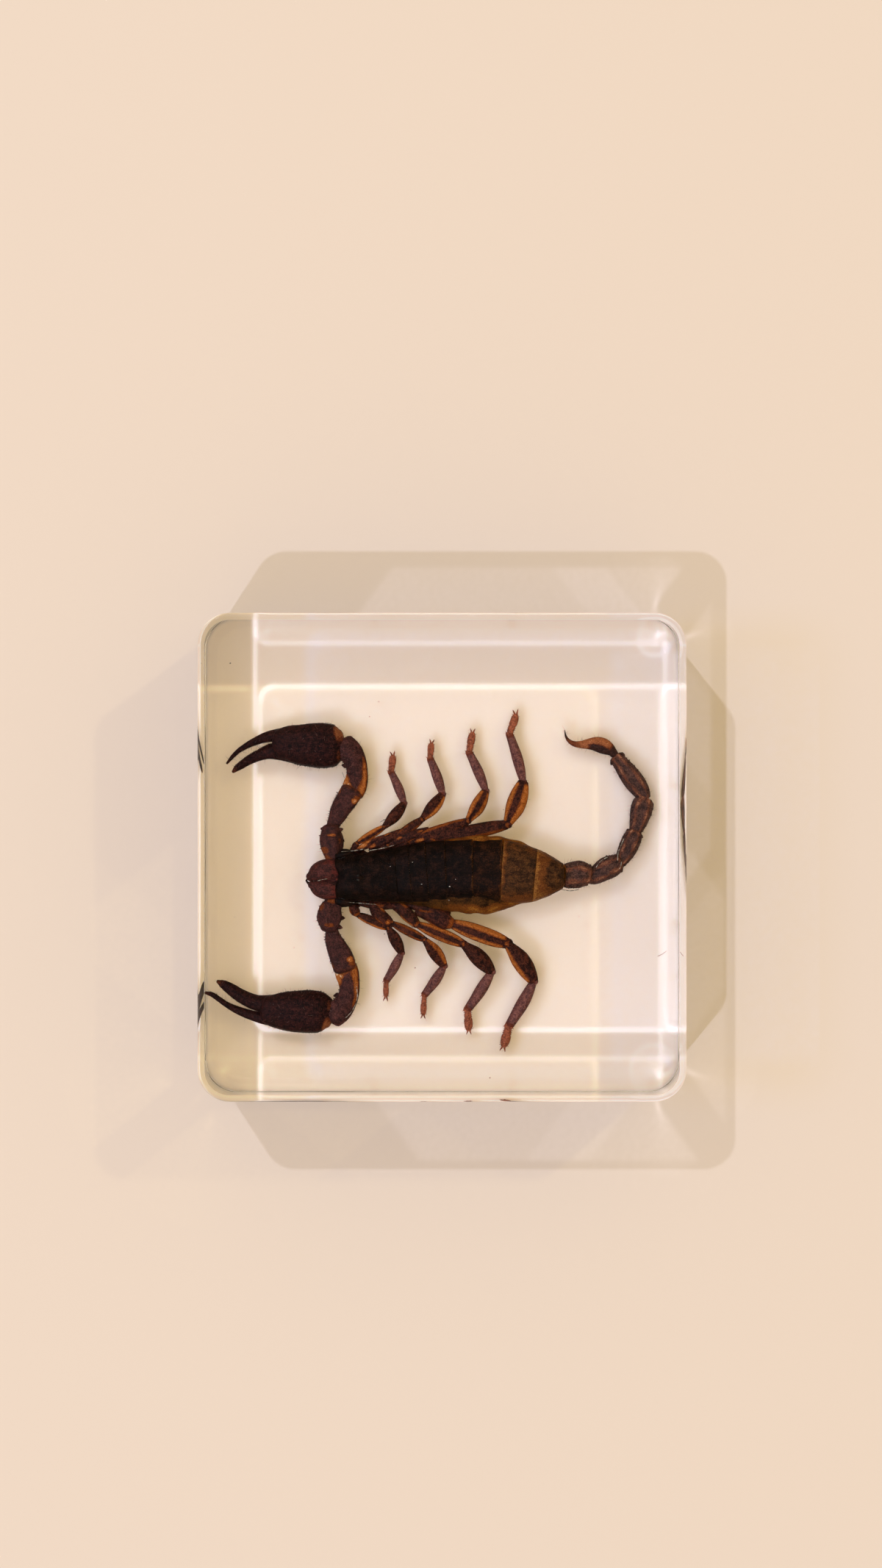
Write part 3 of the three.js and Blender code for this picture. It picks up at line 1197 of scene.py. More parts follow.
arms = {
    "upper": {
        "troch": [(-16.4, -0.6, 1.2), (-16.8, 0.6, 1.35), (-17.05, 1.9, 1.68), (-17.15, 3.1, 1.80),
                  (-17.2, 4.7, 1.38)],
        "femur": [(-16.95, 4.6, 1.0), (-16.6, 5.6, 1.10), (-16.15, 6.5, 1.36), (-15.6, 7.7, 1.58),
                  (-14.7, 9.1, 1.72), (-13.95, 10.3, 1.75)],
        "patella": [(-13.8, 10.0, 1.70), (-13.5, 10.9, 1.82), (-13.15, 12.2, 1.70), (-13.1, 13.5, 1.58),
                    (-13.4, 15.0, 1.66), (-14.1, 16.3, 1.86), (-15.2, 17.4, 1.90)],
        "hand": [(-15.6, 17.5, 2.30), (-16.3, 17.45, 2.95), (-17.6, 17.35, 3.32), (-19.7, 17.4, 3.35),
                 (-21.8, 17.45, 3.10), (-23.6, 17.6, 2.78), (-25.3, 17.5, 2.30)],
        "moving": [(-23.2, 18.75, 1.40), (-25.3, 18.90, 1.02), (-27.2, 18.60, 0.78), (-28.6, 18.08, 0.62),
                   (-30.0, 17.42, 0.47), (-31.35, 16.55, 0.36), (-32.3, 15.64, 0.29), (-33.1, 14.65, 0.17)],
        "fixed": [(-23.0, 16.5, 1.85), (-25.3, 16.52, 1.42), (-26.65, 16.38, 1.14), (-28.05, 15.90, 0.88),
                  (-29.0, 15.5, 0.79), (-30.0, 14.95, 0.69), (-30.95, 14.33, 0.60), (-31.7, 13.8, 0.45),
                  (-32.15, 13.38, 0.26)],
        "corners": [(-18.15, 4.45, -1, 0.35), (-18.35, 3.20, -1, 0.1), (-18.1, 2.2, -1, -0.3),
                    (-15.75, 2.75, 1, 0.1), (-15.85, 4.4, 1, 0.3)],
        "trochMarks": spotted(
            (0.40, 2.2, 0.13, 0.55, 0.45), (0.80, 1.5, 0.05, 0.30, 0.75), (0.14, 2.2, 0.18, 0.60, 0.48),
            (0.62, 0.7, 0.12, 0.4, 0.30),
        ),
        "outward": 1,
    },
    "lower": {
        "troch": [(-16.3, -5.6, 1.2), (-16.7, -6.8, 1.34), (-17.15, -7.95, 1.70), (-17.3, -9.1, 1.86),
                  (-17.35, -10.7, 1.38)],
        "femur": [(-17.05, -10.6, 0.95), (-16.95, -11.4, 1.08), (-16.75, -12.4, 1.36),
                  (-16.15, -13.8, 1.66), (-15.5, -15.2, 1.86), (-15.0, -16.8, 1.80)],
        "patella": [(-14.9, -16.7, 1.76), (-14.65, -17.7, 1.78), (-14.4, -18.9, 1.62),
                    (-14.35, -20.5, 1.50), (-14.9, -22.0, 1.66), (-15.8, -23.3, 1.84), (-16.9, -24.3, 1.80)],
        "hand": [(-17.2, -24.0, 2.05), (-17.8, -23.85, 2.60), (-18.6, -23.7, 3.05), (-20.1, -23.5, 3.28),
                 (-22.1, -23.5, 3.20), (-23.9, -23.45, 3.02), (-25.7, -23.4, 2.62), (-27.2, -23.3, 2.12)],
        "fixed": [(-25.0, -22.5, 1.75), (-27.0, -22.35, 1.36), (-28.4, -22.2, 1.22), (-29.7, -21.75, 1.12),
                  (-31.15, -21.0, 1.02), (-32.7, -19.95, 0.86), (-33.9, -19.2, 0.58), (-34.5, -18.9, 0.28)],
        "moving": [(-25.0, -24.6, 1.35), (-27.3, -24.55, 0.98), (-28.8, -24.25, 0.80), (-30.5, -23.7, 0.68),
                   (-31.95, -23.1, 0.55), (-33.15, -22.45, 0.44), (-34.5, -21.5, 0.40),
                   (-35.5, -20.85, 0.36), (-36.35, -20.62, 0.24)],
        "corners": [(-18.1, -7.95, -1, 0.2), (-18.45, -9.25, -1, -0.1), (-18.15, -10.6, -1, -0.4),
                    (-15.6, -9.1, 1, -0.1), (-15.95, -10.5, 1, -0.3)],
        "trochMarks": spotted(
            (0.16, 1.2, 0.15, 0.70, 0.55), (0.90, 1.6, 0.08, 0.50, 0.40), (0.45, 0.5, 0.12, 0.5, 0.36),
        ),
        "outward": -1,
    },
}
armRise = {"troch": 6.6, "femur": 6.2, "patella": 5.4, "hand": 4.9, "finger": 4.6}


def edgeRow(grid, column, first, last, count, radius, length, lean=(0, 0, 0), jitter=0.25, finishNo=0):
    # tubercles along one lengthwise line of a tube's surface
    rows = np.linspace(first, last, count)
    sides = grid.shape[1]
    parts = []
    for place in rows:
        i = int(round(place)) + 3
        j = (column + dice.choice((-1, 0, 0, 1))) % sides
        point = grid[i, j]
        outward = unit(point - grid[i].mean(axis=0))
        heading = outward + np.array(lean)
        scale = dice.uniform(1 - jitter, 1 + jitter)
        parts.append(spike(point, heading, radius * scale, length * scale, finishNo=finishNo))
    return parts


# amber on the upper arm: a spot near the femur's end, the bare skin at the patella's base and a long stripe
# down its outer side
armMarks = {
    "femur": layered(
        spotted((0.84, 0.95, 0.075, 0.42, 1.15), (0.93, 0.6, 0.10, 0.9, 0.48), (0.86, 2.7, 0.12, 0.5, 0.42)),
        banded((0.95, 1.2, 0.42)),
    ),
    "patella": spotted(
        (0.03, 2.25, 0.13, 0.95, 1.15), (0.17, 2.65, 0.16, 0.60, 1.05), (0.07, 2.50, 0.045, 0.35, 1.9),
        (0.13, 2.05, 0.06, 0.25, 1.5), (0.14, 0.90, 0.20, 0.52, 0.85), (0.34, 0.85, 0.22, 0.42, 0.80),
        (0.52, 0.75, 0.16, 0.30, 0.62), (0.05, 0.6, 0.08, 0.9, 0.45), (0.28, 2.90, 0.12, 0.35, 0.95),
    ),
    "hand": spotted((0.03, 0.75, 0.075, 0.75, 0.88), (0.05, 2.2, 0.05, 0.6, 0.30)),
}


def makeArm(side, arm, seed):
    out = arm["outward"]
    marks = armMarks if out > 0 else {name: mirrored(mark) for name, mark in armMarks.items()}
    troch = tube(
        raised(arm["troch"], armRise["troch"], 0.80), sides=48, rings=54, square=2.8,
        shape=lumpy(seed, 0.05, ridged(5, 0.13)), paint=arm["trochMarks"], finishNo=0,
    )
    femur = tube(
        raised(arm["femur"], armRise["femur"], 0.72), sides=48, rings=64, square=2.8,
        shape=lumpy(seed + 1, 0.02, ridged(4, 0.08, 0.78)), paint=marks["femur"],
    )
    patella = tube(
        raised(arm["patella"], armRise["patella"], 0.74), sides=56, rings=90, square=2.6,
        shape=lumpy(seed + 2, 0.02, ridged(5, 0.07, 0.4)), paint=marks["patella"],
    )
    front = 24 if out > 0 else 0
    back = 0 if out > 0 else 24
    parts = [troch, femur, patella]
    # blunt corners and small thorns stand out along the edges
    for x, y, aside, ahead in arm["corners"]:
        root, length = sunk(x, y, armRise["troch"] + 0.2), dice.uniform(0.55, 0.8)
        parts.append(spike(root, (aside, ahead, 0), 0.42, length, sides=9))
    for part, *row in (
        (troch, front, 12, 48, 7, 0.08, 0.20),
        (troch, 12, 8, 48, 12, 0.06, 0.09),
        (troch, back, 14, 48, 5, 0.07, 0.16),
        (femur, front, 8, 50, 13, 0.075, 0.20),
        (femur, front + 4, 6, 56, 14, 0.055, 0.09),
        (femur, back, 8, 56, 10, 0.06, 0.10),
        (femur, 12, 6, 56, 14, 0.05, 0.07),
        (patella, front * 7 // 6, 38, 82, 8, 0.08, 0.15),
        (patella, 12, 10, 84, 20, 0.05, 0.06),
        (patella, 19, 10, 84, 20, 0.05, 0.06),
    ):
        parts += edgeRow(part["grid"], *row, jitter=0.5)
    # the spur on the inside of the patella
    spurAt = patella["grid"][56, 28 if out > 0 else 0]
    parts.append(spike(spurAt, (-0.9, 0.15 * out, 0), 0.42, 0.65))
    makePiece(side + "Arm", parts, ["arm cuticle"], grain=(0.28, 0.08))

    hand = tube(
        raised(arm["hand"], armRise["hand"], 0.78), sides=64, rings=96, square=2.3, caps=(0.35, 0.5),
        shape=lumpy(seed + 3, 0.02, ridged(8, 0.035, 0.2)), paint=marks["hand"],
    )
    fixed = tube(
        raised(arm["fixed"], armRise["finger"], 0.95), sides=36, rings=80, square=2.2, caps=(0.3, 0.9),
        shape=lumpy(seed + 4, 0.02, ridged(5, 0.06)), paint=banded((0.80, 1.5, 0.45)),
    )
    moving = tube(
        raised(arm["moving"], armRise["finger"] + 0.1, 0.95), sides=36, rings=90, square=2.2, caps=(0.3, 0.9),
        shape=lumpy(seed + 5, 0.02, ridged(5, 0.06)), paint=banded((0.30, 0.70, 0.12), (0.80, 1.5, 0.36)),
    )
    # the hand travels towards -X, so its column 0 faces +Y
    outerCol, innerCol = (0, 32) if out > 0 else (32, 0)
    parts = [hand, fixed]
    for row in (
        (innerCol, 6, 66, 20, 0.10, 0.13),
        (innerCol + 3, 10, 80, 20, 0.08, 0.09),
        (innerCol - 3, 10, 80, 20, 0.08, 0.09),
        (outerCol, 8, 80, 14, 0.06, 0.06),
        *((column, 8, 86, 26, 0.06, 0.055) for column in (8, 13, 18, 24)),
    ):
        parts += edgeRow(hand["grid"], *row, jitter=0.45)
    tooth = 0 if out > 0 else 18
    parts += edgeRow(fixed["grid"], tooth, 24, 74, 26, 0.075, 0.10)
    parts += edgeRow(fixed["grid"], 9, 10, 74, 26, 0.06, 0.07)
    makePiece(side + "Hand", parts, ["claw cuticle"], grain=(0.30, 0.10))
    parts = [moving]
    parts += edgeRow(moving["grid"], 18 - tooth, 24, 84, 30, 0.07, 0.10)
    parts += edgeRow(moving["grid"], 9, 10, 84, 28, 0.055, 0.065)
    makePiece(side + "MovingFinger", parts, ["claw cuticle"], grain=(0.25, 0.05))


for seed, (side, arm) in enumerate(arms.items()):
    makeArm(side, arm, 300 + seed * 20)
print("pincer arms made")


# tail

tail = {
    "z": (5.6, 4.6, 3.8, 3.4, 3.2),
    "segments": [
        [(18.2, -2.66, 1.55), (19.1, -2.64, 1.86), (20.0, -2.52, 1.94), (21.1, -2.42, 2.00),
         (22.0, -2.52, 1.76), (22.6, -2.64, 1.34)],
        [(22.5, -2.75, 1.10), (23.2, -2.68, 1.26), (24.2, -2.15, 1.52), (25.3, -1.45, 1.70),
         (26.3, -1.02, 1.60), (27.2, -0.65, 1.22)],
        [(27.1, -0.75, 0.95), (27.7, 0.10, 1.12), (28.3, 1.20, 1.34), (28.8, 2.35, 1.42),
         (29.3, 3.40, 1.34), (29.6, 4.10, 1.10)],
        [(29.5, 3.95, 0.90), (29.95, 5.10, 1.22), (30.3, 6.40, 1.50), (30.6, 7.70, 1.62),
         (30.95, 8.70, 1.50), (31.2, 9.20, 1.18)],
        [(31.1, 9.25, 0.95), (30.75, 10.0, 1.22), (30.1, 11.0, 1.46), (29.2, 12.2, 1.52),
         (28.3, 13.4, 1.40), (27.4, 14.6, 1.18), (26.6, 15.6, 1.06)],
    ],
    "flat": 0.80,
    "keels": 0.12,
}
sting = [
    (26.5, 15.9, 0.60), (26.15, 16.35, 0.72), (25.55, 16.85, 1.02), (24.6, 17.35, 1.22),
    (23.5, 17.62, 1.10), (22.4, 17.60, 0.82), (21.3, 17.52, 0.58), (20.3, 17.62, 0.43),
    (19.55, 18.00, 0.31), (19.1, 18.52, 0.21), (18.88, 19.1, 0.13), (18.80, 19.75, 0.05),
]


def makeTail():
    for number, rows in enumerate(tail["segments"]):

        def streaks(along, around):
            # two rusty crests along the top, broken along their length, between dark furrows and dark flanks
            crest = sum(np.exp(-(((around - math.pi / 2 - aside) / 0.26) ** 2)) for aside in (-0.46, 0.46))
            broken = 0.70 + 0.30 * np.sin(along * 11 + around * 3 + number * 1.7)
            return crest * broken * 0.74 + eased(along, 0.90, 1.0) * 0.20

        part = tube(
            raised(rows, tail["z"][number], tail["flat"]), sides=64, rings=70, square=2.5, caps=(0.35, 0.35),
            shape=lumpy(500 + number, 0.03, ridged(8, tail["keels"], 0.39, 1.6)), paint=streaks,
        )
        parts = [part]
        # saw-edged keels, coarser towards the rear end
        for column in (4, 12, 20, 28):
            parts += edgeRow(part["grid"], column, 4, 66, 18, 0.07, 0.08, jitter=0.5)
        for column in (0, 32):
            parts += edgeRow(part["grid"], column, 10, 66, 12, 0.07, 0.07, jitter=0.5)
        if number == 4:
            parts += edgeRow(part["grid"], 0, 44, 68, 6, 0.10, 0.20, lean=(-0.3, 0.2, 0), jitter=0.5)
        if number in (1, 2):
            parts += edgeRow(part["grid"], 32, 50, 68, 4, 0.16, 0.24, jitter=0.4)
        # the hind rim flares into four blunt corners
        for column in (4, 28, 0, 32):
            parts += edgeRow(part["grid"], column, 65, 67, 2, 0.20, 0.22, jitter=0.3)
        makePiece("tailSegment" + str(number + 1), parts, ["tail cuticle"], grain=(0.25, 0.08))

    def poisonMark(along, around):
        # amber, with a dark patch low on the base and a dark point
        dark = eased(-np.cos(around), -0.25, 0.30) * (1 - eased(along, 0.40, 0.56))
        neck = 1 - eased(along, 0.06, 0.20)
        point = eased(along, 0.52, 0.78) * 0.55 + eased(along, 0.78, 0.97) * 0.25
        return np.clip(0.95 - np.maximum(np.maximum(dark, neck), point), 0, 1)

    bulb = tube(
        raised(sting, tail["z"][4] + 0.1, 0.92), sides=48, rings=110, caps=(0.4, 0.8),
        shape=lumpy(560, 0.02), paint=poisonMark,
    )
    makePiece("stingBulb", [bulb], ["sting cuticle"], grain=(0.4, 0.03))


makeTail()
print("tail made")


# bristles

bristles = {
    "perPiece": {"Arm": 150, "Hand": 150, "MovingFinger": 45, "Leg": 95, "tail": 45, "sting": 90, "Jaw": 45},
    "length": (0.35, 1.05),
    "radius": 0.016,
}


def makeBristles():
    parts = []
    for piece in list(bpy.data.objects):
        kind = next((key for key in bristles["perPiece"] if key in piece.name), None)
        if kind is None or piece.type != "MESH" or "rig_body" not in piece:
            continue
        roll = random.Random(piece.name)
        faces = piece.data.polygons
        for _ in range(bristles["perPiece"][kind]):
            face = faces[roll.randrange(len(faces))]
            if abs(face.normal.z) > 0.75 and roll.random() < 0.7:
                continue
            root = np.array(face.center) / mm
            heading = np.array(face.normal) + np.array([roll.uniform(-0.5, 0.5) for _ in range(3)])
            length = roll.uniform(*bristles["length"]) * (0.7 if kind in ("Leg", "Jaw") else 1.0)
            parts.append(bristle(root, heading, length, bristles["radius"], roll.uniform(-0.3, 0.3)))
    makePiece("bristles", parts, ["bristles"])


makeBristles()
print("bristles made")


# what was cast in with it: trapped air and dust


filmSteps = 44
specks = {"dust": 0.7, "fluff": 0.6}  # their size against the sizes in the lists below


def sliver(points, z, width, tall=0.03):
    # slim films in a line with a few gaps
    path = smoothPath([(x, y, z) for x, y in points], filmSteps)
    parts = []
    at = 0
    while at < filmSteps - 6:
        count = dice.randrange(9, 24)
        rows = path[at : min(at + count, filmSteps)]
        wide = width * dice.uniform(0.35, 0.9)
        ends = (0, len(rows) - 1)
        stations = [(*point, wide * (0.4 if k in ends else 1.0), tall) for k, point in enumerate(rows)]
        parts.append(tube(stations, sides=8, rings=10))
        at += count + dice.randrange(0, 2)
    return parts


# slim films of trapped air: points, height and width, and how tall if not the usual
airFilms = [
    ([(12.9, 2.0), (14.2, 1.55), (15.6, 1.0)], 6.4, 0.09),
    ([(15.9, 0.75), (16.8, 0.25), (17.6, -0.25)], 6.2, 0.07),
    ([(18.3, -4.75), (19.6, -4.95), (21.0, -4.75)], 5.6, 0.07),
    ([(16.4, -5.0), (15.0, -5.85), (13.2, -6.45)], 5.8, 0.07),
    ([(23.6, -1.35), (24.1, -0.6), (24.9, 0.0), (25.7, 0.35)], 6.0, 0.08),
    ([(26.9, -0.3), (27.0, 0.9), (27.5, 2.2), (27.9, 3.1)], 6.0, 0.10),
    ([(27.5, -0.5), (27.4, -1.2), (27.1, -1.7)], 6.4, 0.06),
    ([(-15.6, 1.05), (-13.8, 1.2), (-12.0, 1.5)], 9.6, 0.07),
    ([(-11.4, 1.2), (-9.4, 1.55), (-7.4, 2.05)], 9.6, 0.06),
    ([(-14.4, -6.7), (-12.6, -6.85), (-9.8, -7.1)], 8.9, 0.05),
    ([(-9.6, 5.6), (-8.7, 6.1)], 6.4, 0.10),
    ([(-6.1, -9.2), (-5.2, -10.0), (-4.5, -10.6)], 5.4, 0.09),
    ([(-13.2, -19.6), (-13.1, -21.4), (-13.9, -23.4), (-15.3, -24.9)], 9.0, 0.06),
    ([(-19.2, 20.85), (-17.5, 20.8), (-15.9, 20.3)], 6.0, 0.06),
    ([(-15.4, 13.3), (-15.0, 12.2)], 6.6, 0.06),
    ([(-19.2, -3.4), (-18.3, -3.2), (-17.4, -3.05)], 8.9, 0.06, 0.06),
]


def makeInclusions():
    films = []
    for film in airFilms:
        films += sliver(*film)
    makePiece("airFilms", films, ["trapped air film"])
    dust = []
    for x, y, z, size in (
        (-9.8, 24.1, 5.0, 0.10), (-11.2, 21.8, 7.0, 0.09), (-4.2, -16.8, 4.0, 0.13), (7.3, -33.7, 6.0, 0.12),
        (-32.6, 30.0, 9.0, 0.14), (-31.9, -9.0, 8.0, 0.08), (9.4, 7.5, 6.0, 0.08), (21.0, -8.9, 5.0, 0.08),
        (-22.8, -13.7, 5.0, 0.08), (13.1, 12.0, 8.0, 0.06), (-8.9, -11.6, 8.5, 0.10),
    ):
        size *= specks["dust"]
        dust.append(tube(
            [(x - size, y, z, size * 0.5, size * 0.4), (x, y + size * 0.2, z, size, size * 0.6),
             (x + size * 0.8, y, z, size * 0.4, size * 0.4)],
            sides=10, rings=8, shape=lumpy(int(x * 10), 0.3),
        ))
    dust.append(tube(
        [(33.1, -15.0, 12, 0.04, 0.04), (33.9, -14.6, 12, 0.04, 0.04), (34.4, -14.2, 12, 0.03, 0.03)],
        sides=6, rings=12,
    ))
    makePiece("dustSpecks", dust, ["dark dust"])
    fluff = []
    for x, y, z, size in (
        (-4.6, -0.56, 10.45, 0.11), (-3.2, -3.95, 10.5, 0.12), (1.1, -4.3, 10.5, 0.16),
        (1.0, -6.4, 9.5, 0.10), (2.0, -3.2, 10.55, 0.08), (-8.0, -1.2, 10.55, 0.08),
        (12.3, -5.1, 9.2, 0.08), (-23.9, -5.2, 8.5, 0.05),
    ):
        size *= specks["fluff"]
        fluff.append(tube(
            [(x - size, y, z, size * 0.3, size * 0.2), (x, y + size * 0.3, z, size * 0.6, size * 0.3),
             (x + size, y, z, size * 0.25, size * 0.2)],
            sides=8, rings=8, shape=lumpy(int(x * 7) + 3, 0.3),
        ))
    makePiece("paleFluff", fluff, ["pale fluff"])


makeInclusions()
print("inclusions made")


# floor, lamps and camera

room = {
    "floorSize": 3.0,
    "floorColour": (0.80, 0.67, 0.61),
    "world": rgb(0.974, 0.829, 0.50),
    "worldStrength": 0.76,
    "lampHeight": 1.6,
    "patch": 61.0,  # half the side of the floor that gets light through the block
    "cell": 0.3,
    "rays": (0.10, 0.15),  # between the followed rays, on the top face and on the walls
    "bounces": 9,
    "underBlock": (0.158, 0.104, 0.033),  # what light scattered in the resin adds to the floor below it
    "underFade": 0.6,  # how softly that ends at the walls
    "softening": 2,  # passes that even out the grain of the followed light
    "shadow": 0.4,  # how fast the specimen's shadow in it closes up
    "shadowSoftening": 3,
    "card": {"height": 0.62, "radius": 0.20},  # dark card that the top face mirrors
}
floorCells = int(2 * room["patch"] / room["cell"]) + 1  # points along one side of the patch
# how far each lamp leans from upright, as its shift per height; its light on a bare floor; and how wide it
# is for its height
lamps = {
    "lampRight": {"lean": (0.76, 0.61), "light": (0.060, 0.055, 0.030), "width": 0.03},
    "lampFront": {"lean": (-0.33, -0.45), "light": (0.150, 0.170, 0.220), "width": 0.02},
    "lampLeft": {"lean": (-0.39, 0.54), "light": (0.140, 0.155, 0.180), "width": 0.02},
    "lampWindow": {"lean": (-1.0, 0.03), "light": (0.012, 0.032, 0.090), "width": 0.24},
}


def passing(cosine, ratio):
    # share of light let through a surface, and the cosine beyond it
    beyond = 1 - ratio**2 * (1 - cosine**2)
    onward = np.sqrt(np.maximum(beyond, 0))
    along = (ratio * cosine - onward) / (ratio * cosine + onward)
    across = (cosine - ratio * onward) / (cosine + ratio * onward)
    return np.where(beyond > 0, 1 - (along**2 + across**2) / 2, 0), onward


def bend(ways, normals, ratio):
    # normals face the light that comes
    cosine = -np.sum(ways * normals, axis=1)
    share, onward = passing(cosine, ratio)
    return ways * ratio + normals * (ratio * cosine - onward)[:, None], share


def wallAhead(points, ways):
    # run to the block's upright walls in plan, and which way the wall faces there
    half, radius = resin["side"] / 2, resin["cornerRadius"]
    reach = half - radius
    steady = np.where(np.abs(ways) < 1e-9, 1e-9, ways)
    runs = (np.sign(steady) * half - points) / steady
    first = np.argmin(runs, axis=1)
    distance = runs[np.arange(len(runs)), first]
    normal = np.zeros_like(points)
    normal[np.arange(len(runs)), first] = np.sign(steady)[np.arange(len(runs)), first]
    hit = points + ways * distance[:, None]
    corner = (np.abs(hit) > reach).all(axis=1)
    centre = np.sign(hit[corner]) * reach
    offset = points[corner] - centre
    b = np.sum(offset * ways[corner], axis=1)
    a = np.sum(ways[corner] ** 2, axis=1)
    c = np.sum(offset**2, axis=1) - radius**2
    distance[corner] = (np.sqrt(np.maximum(b * b - a * c, 0)) - b) / a
    normal[corner] = unit(offset + ways[corner] * distance[corner][:, None])
    return np.maximum(distance, 0), normal


def laid(places, power):
    # light shared out over the cells of the floor patch
    at = (places + room["patch"]) / room["cell"]
    inside = ((at > 0) & (at < floorCells - 1)).all(axis=1)
    at, power = at[inside], power[inside]
    corner = np.floor(at).astype(int)
    part = at - corner
    total = np.zeros(floorCells**2)
    for dx in (0, 1):
        for dy in (0, 1):
            share = np.abs(1 - dx - part[:, 0]) * np.abs(1 - dy - part[:, 1])
            where = (corner[:, 1] + dy) * floorCells + corner[:, 0] + dx
            total += np.bincount(where, share * power, floorCells**2)
    return total / room["cell"] ** 2


def topOfBlock(spacing, chance):
    # places all over the top face with their normals
    half, radius, tall = resin["side"] / 2, resin["cornerRadius"], resin["thickness"]
    line = np.arange(-half + spacing / 2, half, spacing)
    plan = np.stack(np.meshgrid(line, line), axis=-1).reshape(-1, 2)
    plan += chance.uniform(-0.5, 0.5, plan.shape) * spacing
    beyond = np.abs(plan) - (half - radius)
    corner = np.maximum(beyond, 0)
    away = np.linalg.norm(corner, axis=1)
    inset = radius - np.where(away > 0, away, beyond.max(axis=1))
    facing = np.where((away > 0)[:, None], corner, (beyond == beyond.max(axis=1, keepdims=True)) * 1.0)
    facing = unit(facing) * np.sign(plan)
    plan, facing, inset = plan[inset > 0], facing[inset > 0], inset[inset > 0]
    turn = math.sin(math.radians(resin["rimTilt"]))
    rim = resin["rimEdge"] * (1 - turn)
    lean = np.where(
        inset < rim, 1 - inset / resin["rimEdge"], np.maximum(turn - (inset - rim) / resin["rimRadius"], 0)
    )
    upright = np.sqrt(np.maximum(1 - lean**2, 0.02))
    points = np.column_stack([plan, np.full(len(plan), tall)])
    normals = unit(np.column_stack([facing * lean[:, None], upright]))
    return points, normals, spacing**2 / upright


def wallsOfBlock(spacing, chance):
    half, radius, tall = resin["side"] / 2, resin["cornerRadius"], resin["thickness"]
    reach = half - radius
    plan, facing = [], []
    for quarter in range(4):
        turn = math.pi / 2 * quarter
        out, side = np.array((math.cos(turn), math.sin(turn))), np.array((-math.sin(turn), math.cos(turn)))
        for s in np.arange(-reach, reach, spacing):
            plan.append(out * half + side * s)
            facing.append(out)
        for s in np.arange(0, math.pi / 2, spacing / radius):
            outward = np.array((math.cos(turn + s), math.sin(turn + s)))
            plan.append((out + side) * reach + outward * radius)
            facing.append(outward)
    rises = np.arange(1.0, tall - 1.0, spacing)
    plan, facing = np.repeat(plan, len(rises), axis=0), np.repeat(facing, len(rises), axis=0)
    rise = np.tile(rises, len(plan) // len(rises)) + chance.uniform(0, spacing, len(plan))
    points = np.column_stack([plan, rise])
    return points, np.column_stack([facing, np.zeros(len(plan))]), np.full(len(plan), spacing**2)


def followLight(lean, width, shadow):
    # light of one far lamp followed through the block to the floor, against that on a bare floor
    tall, ior = resin["thickness"], resin["ior"]
    chance = np.random.default_rng(5)
    total = 0
    onTop, onWalls = room["rays"]
    for points, normals, areas in (topOfBlock(onTop, chance), wallsOfBlock(onWalls, chance)):
        spread = width / 2 * np.sqrt(chance.uniform(0, 1, len(points)))
        angle = chance.uniform(0, 2 * math.pi, len(points))
        ways = unit(np.column_stack([
            -lean[0] + spread * np.cos(angle), -lean[1] + spread * np.sin(angle), -np.ones(len(points)),
        ]))
        facing = -np.sum(ways * normals, axis=1)
        lit = facing > 0.02
        points, normals, ways = points[lit], normals[lit], ways[lit]
        power = (areas * facing)[lit]
        level = 1 / math.sqrt(1 + lean[0] ** 2 + lean[1] ** 2)
        ways, share = bend(ways, normals, 1 / ior)
        power = power * share * np.where(normals[:, 2] == 0, resin["wallPolish"], 1.0)
        direct = np.ones(len(points), bool)
        for _ in range(room["bounces"]):
            upward = ways[:, 2] > 0
            rise = np.where(upward, tall - points[:, 2], points[:, 2]) / np.maximum(np.abs(ways[:, 2]), 1e-6)
            wall, facing = wallAhead(points[:, :2], ways[:, :2])
            hitsWall = wall < rise
            points = points + ways * np.minimum(wall, rise)[:, None]
            normals = np.where(
                hitsWall[:, None], np.column_stack([facing, np.zeros(len(facing))]),
                np.column_stack([np.zeros((len(facing), 2)), np.sign(ways[:, 2])]),
            )
            onward, share = bend(ways, -normals, ior)
            down = ~hitsWall & ~upward & (share > 0)
            mask = np.where(direct[down], shadow(points[down, :2]), 1.0)
            total = total + laid(points[down, :2], power[down] * share[down] * mask / level)
            out = hitsWall & (share > 0) & (onward[:, 2] < -0.05)
            land = points[out, :2] + onward[out, :2] * (points[out, 2] / -onward[out, 2])[:, None]
            total = total + laid(land, power[out] * share[out] / level)
            stays = share == 0
            turned = ways - 2 * np.sum(ways * normals, axis=1)[:, None] * normals
            direct = (direct & ~hitsWall)[stays]
            power = power * np.where(hitsWall, resin["wallPolish"], 1.0)
            points, ways, power = points[stays], turned[stays], power[stays]
    spread = total.reshape(floorCells, floorCells)
    for _ in range(room["softening"]):
        spread = (spread * 2 + sum(np.roll(spread, way, axis) for way in (-1, 1) for axis in (0, 1))) / 6
    return spread.ravel()


def specimenPoints():
    found = []
    for piece in bpy.data.objects:
        if piece.type == "MESH" and piece.get("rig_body") and piece.name != "resinBlock":
            mesh = piece.data
            for items, key in ((mesh.vertices, "co"), (mesh.polygons, "center")):
                flat = np.empty(len(items) * 3, np.float32)
                items.foreach_get(key, flat)
                found.append(flat.reshape(-1, 3) / mm)
    return np.vstack(found)


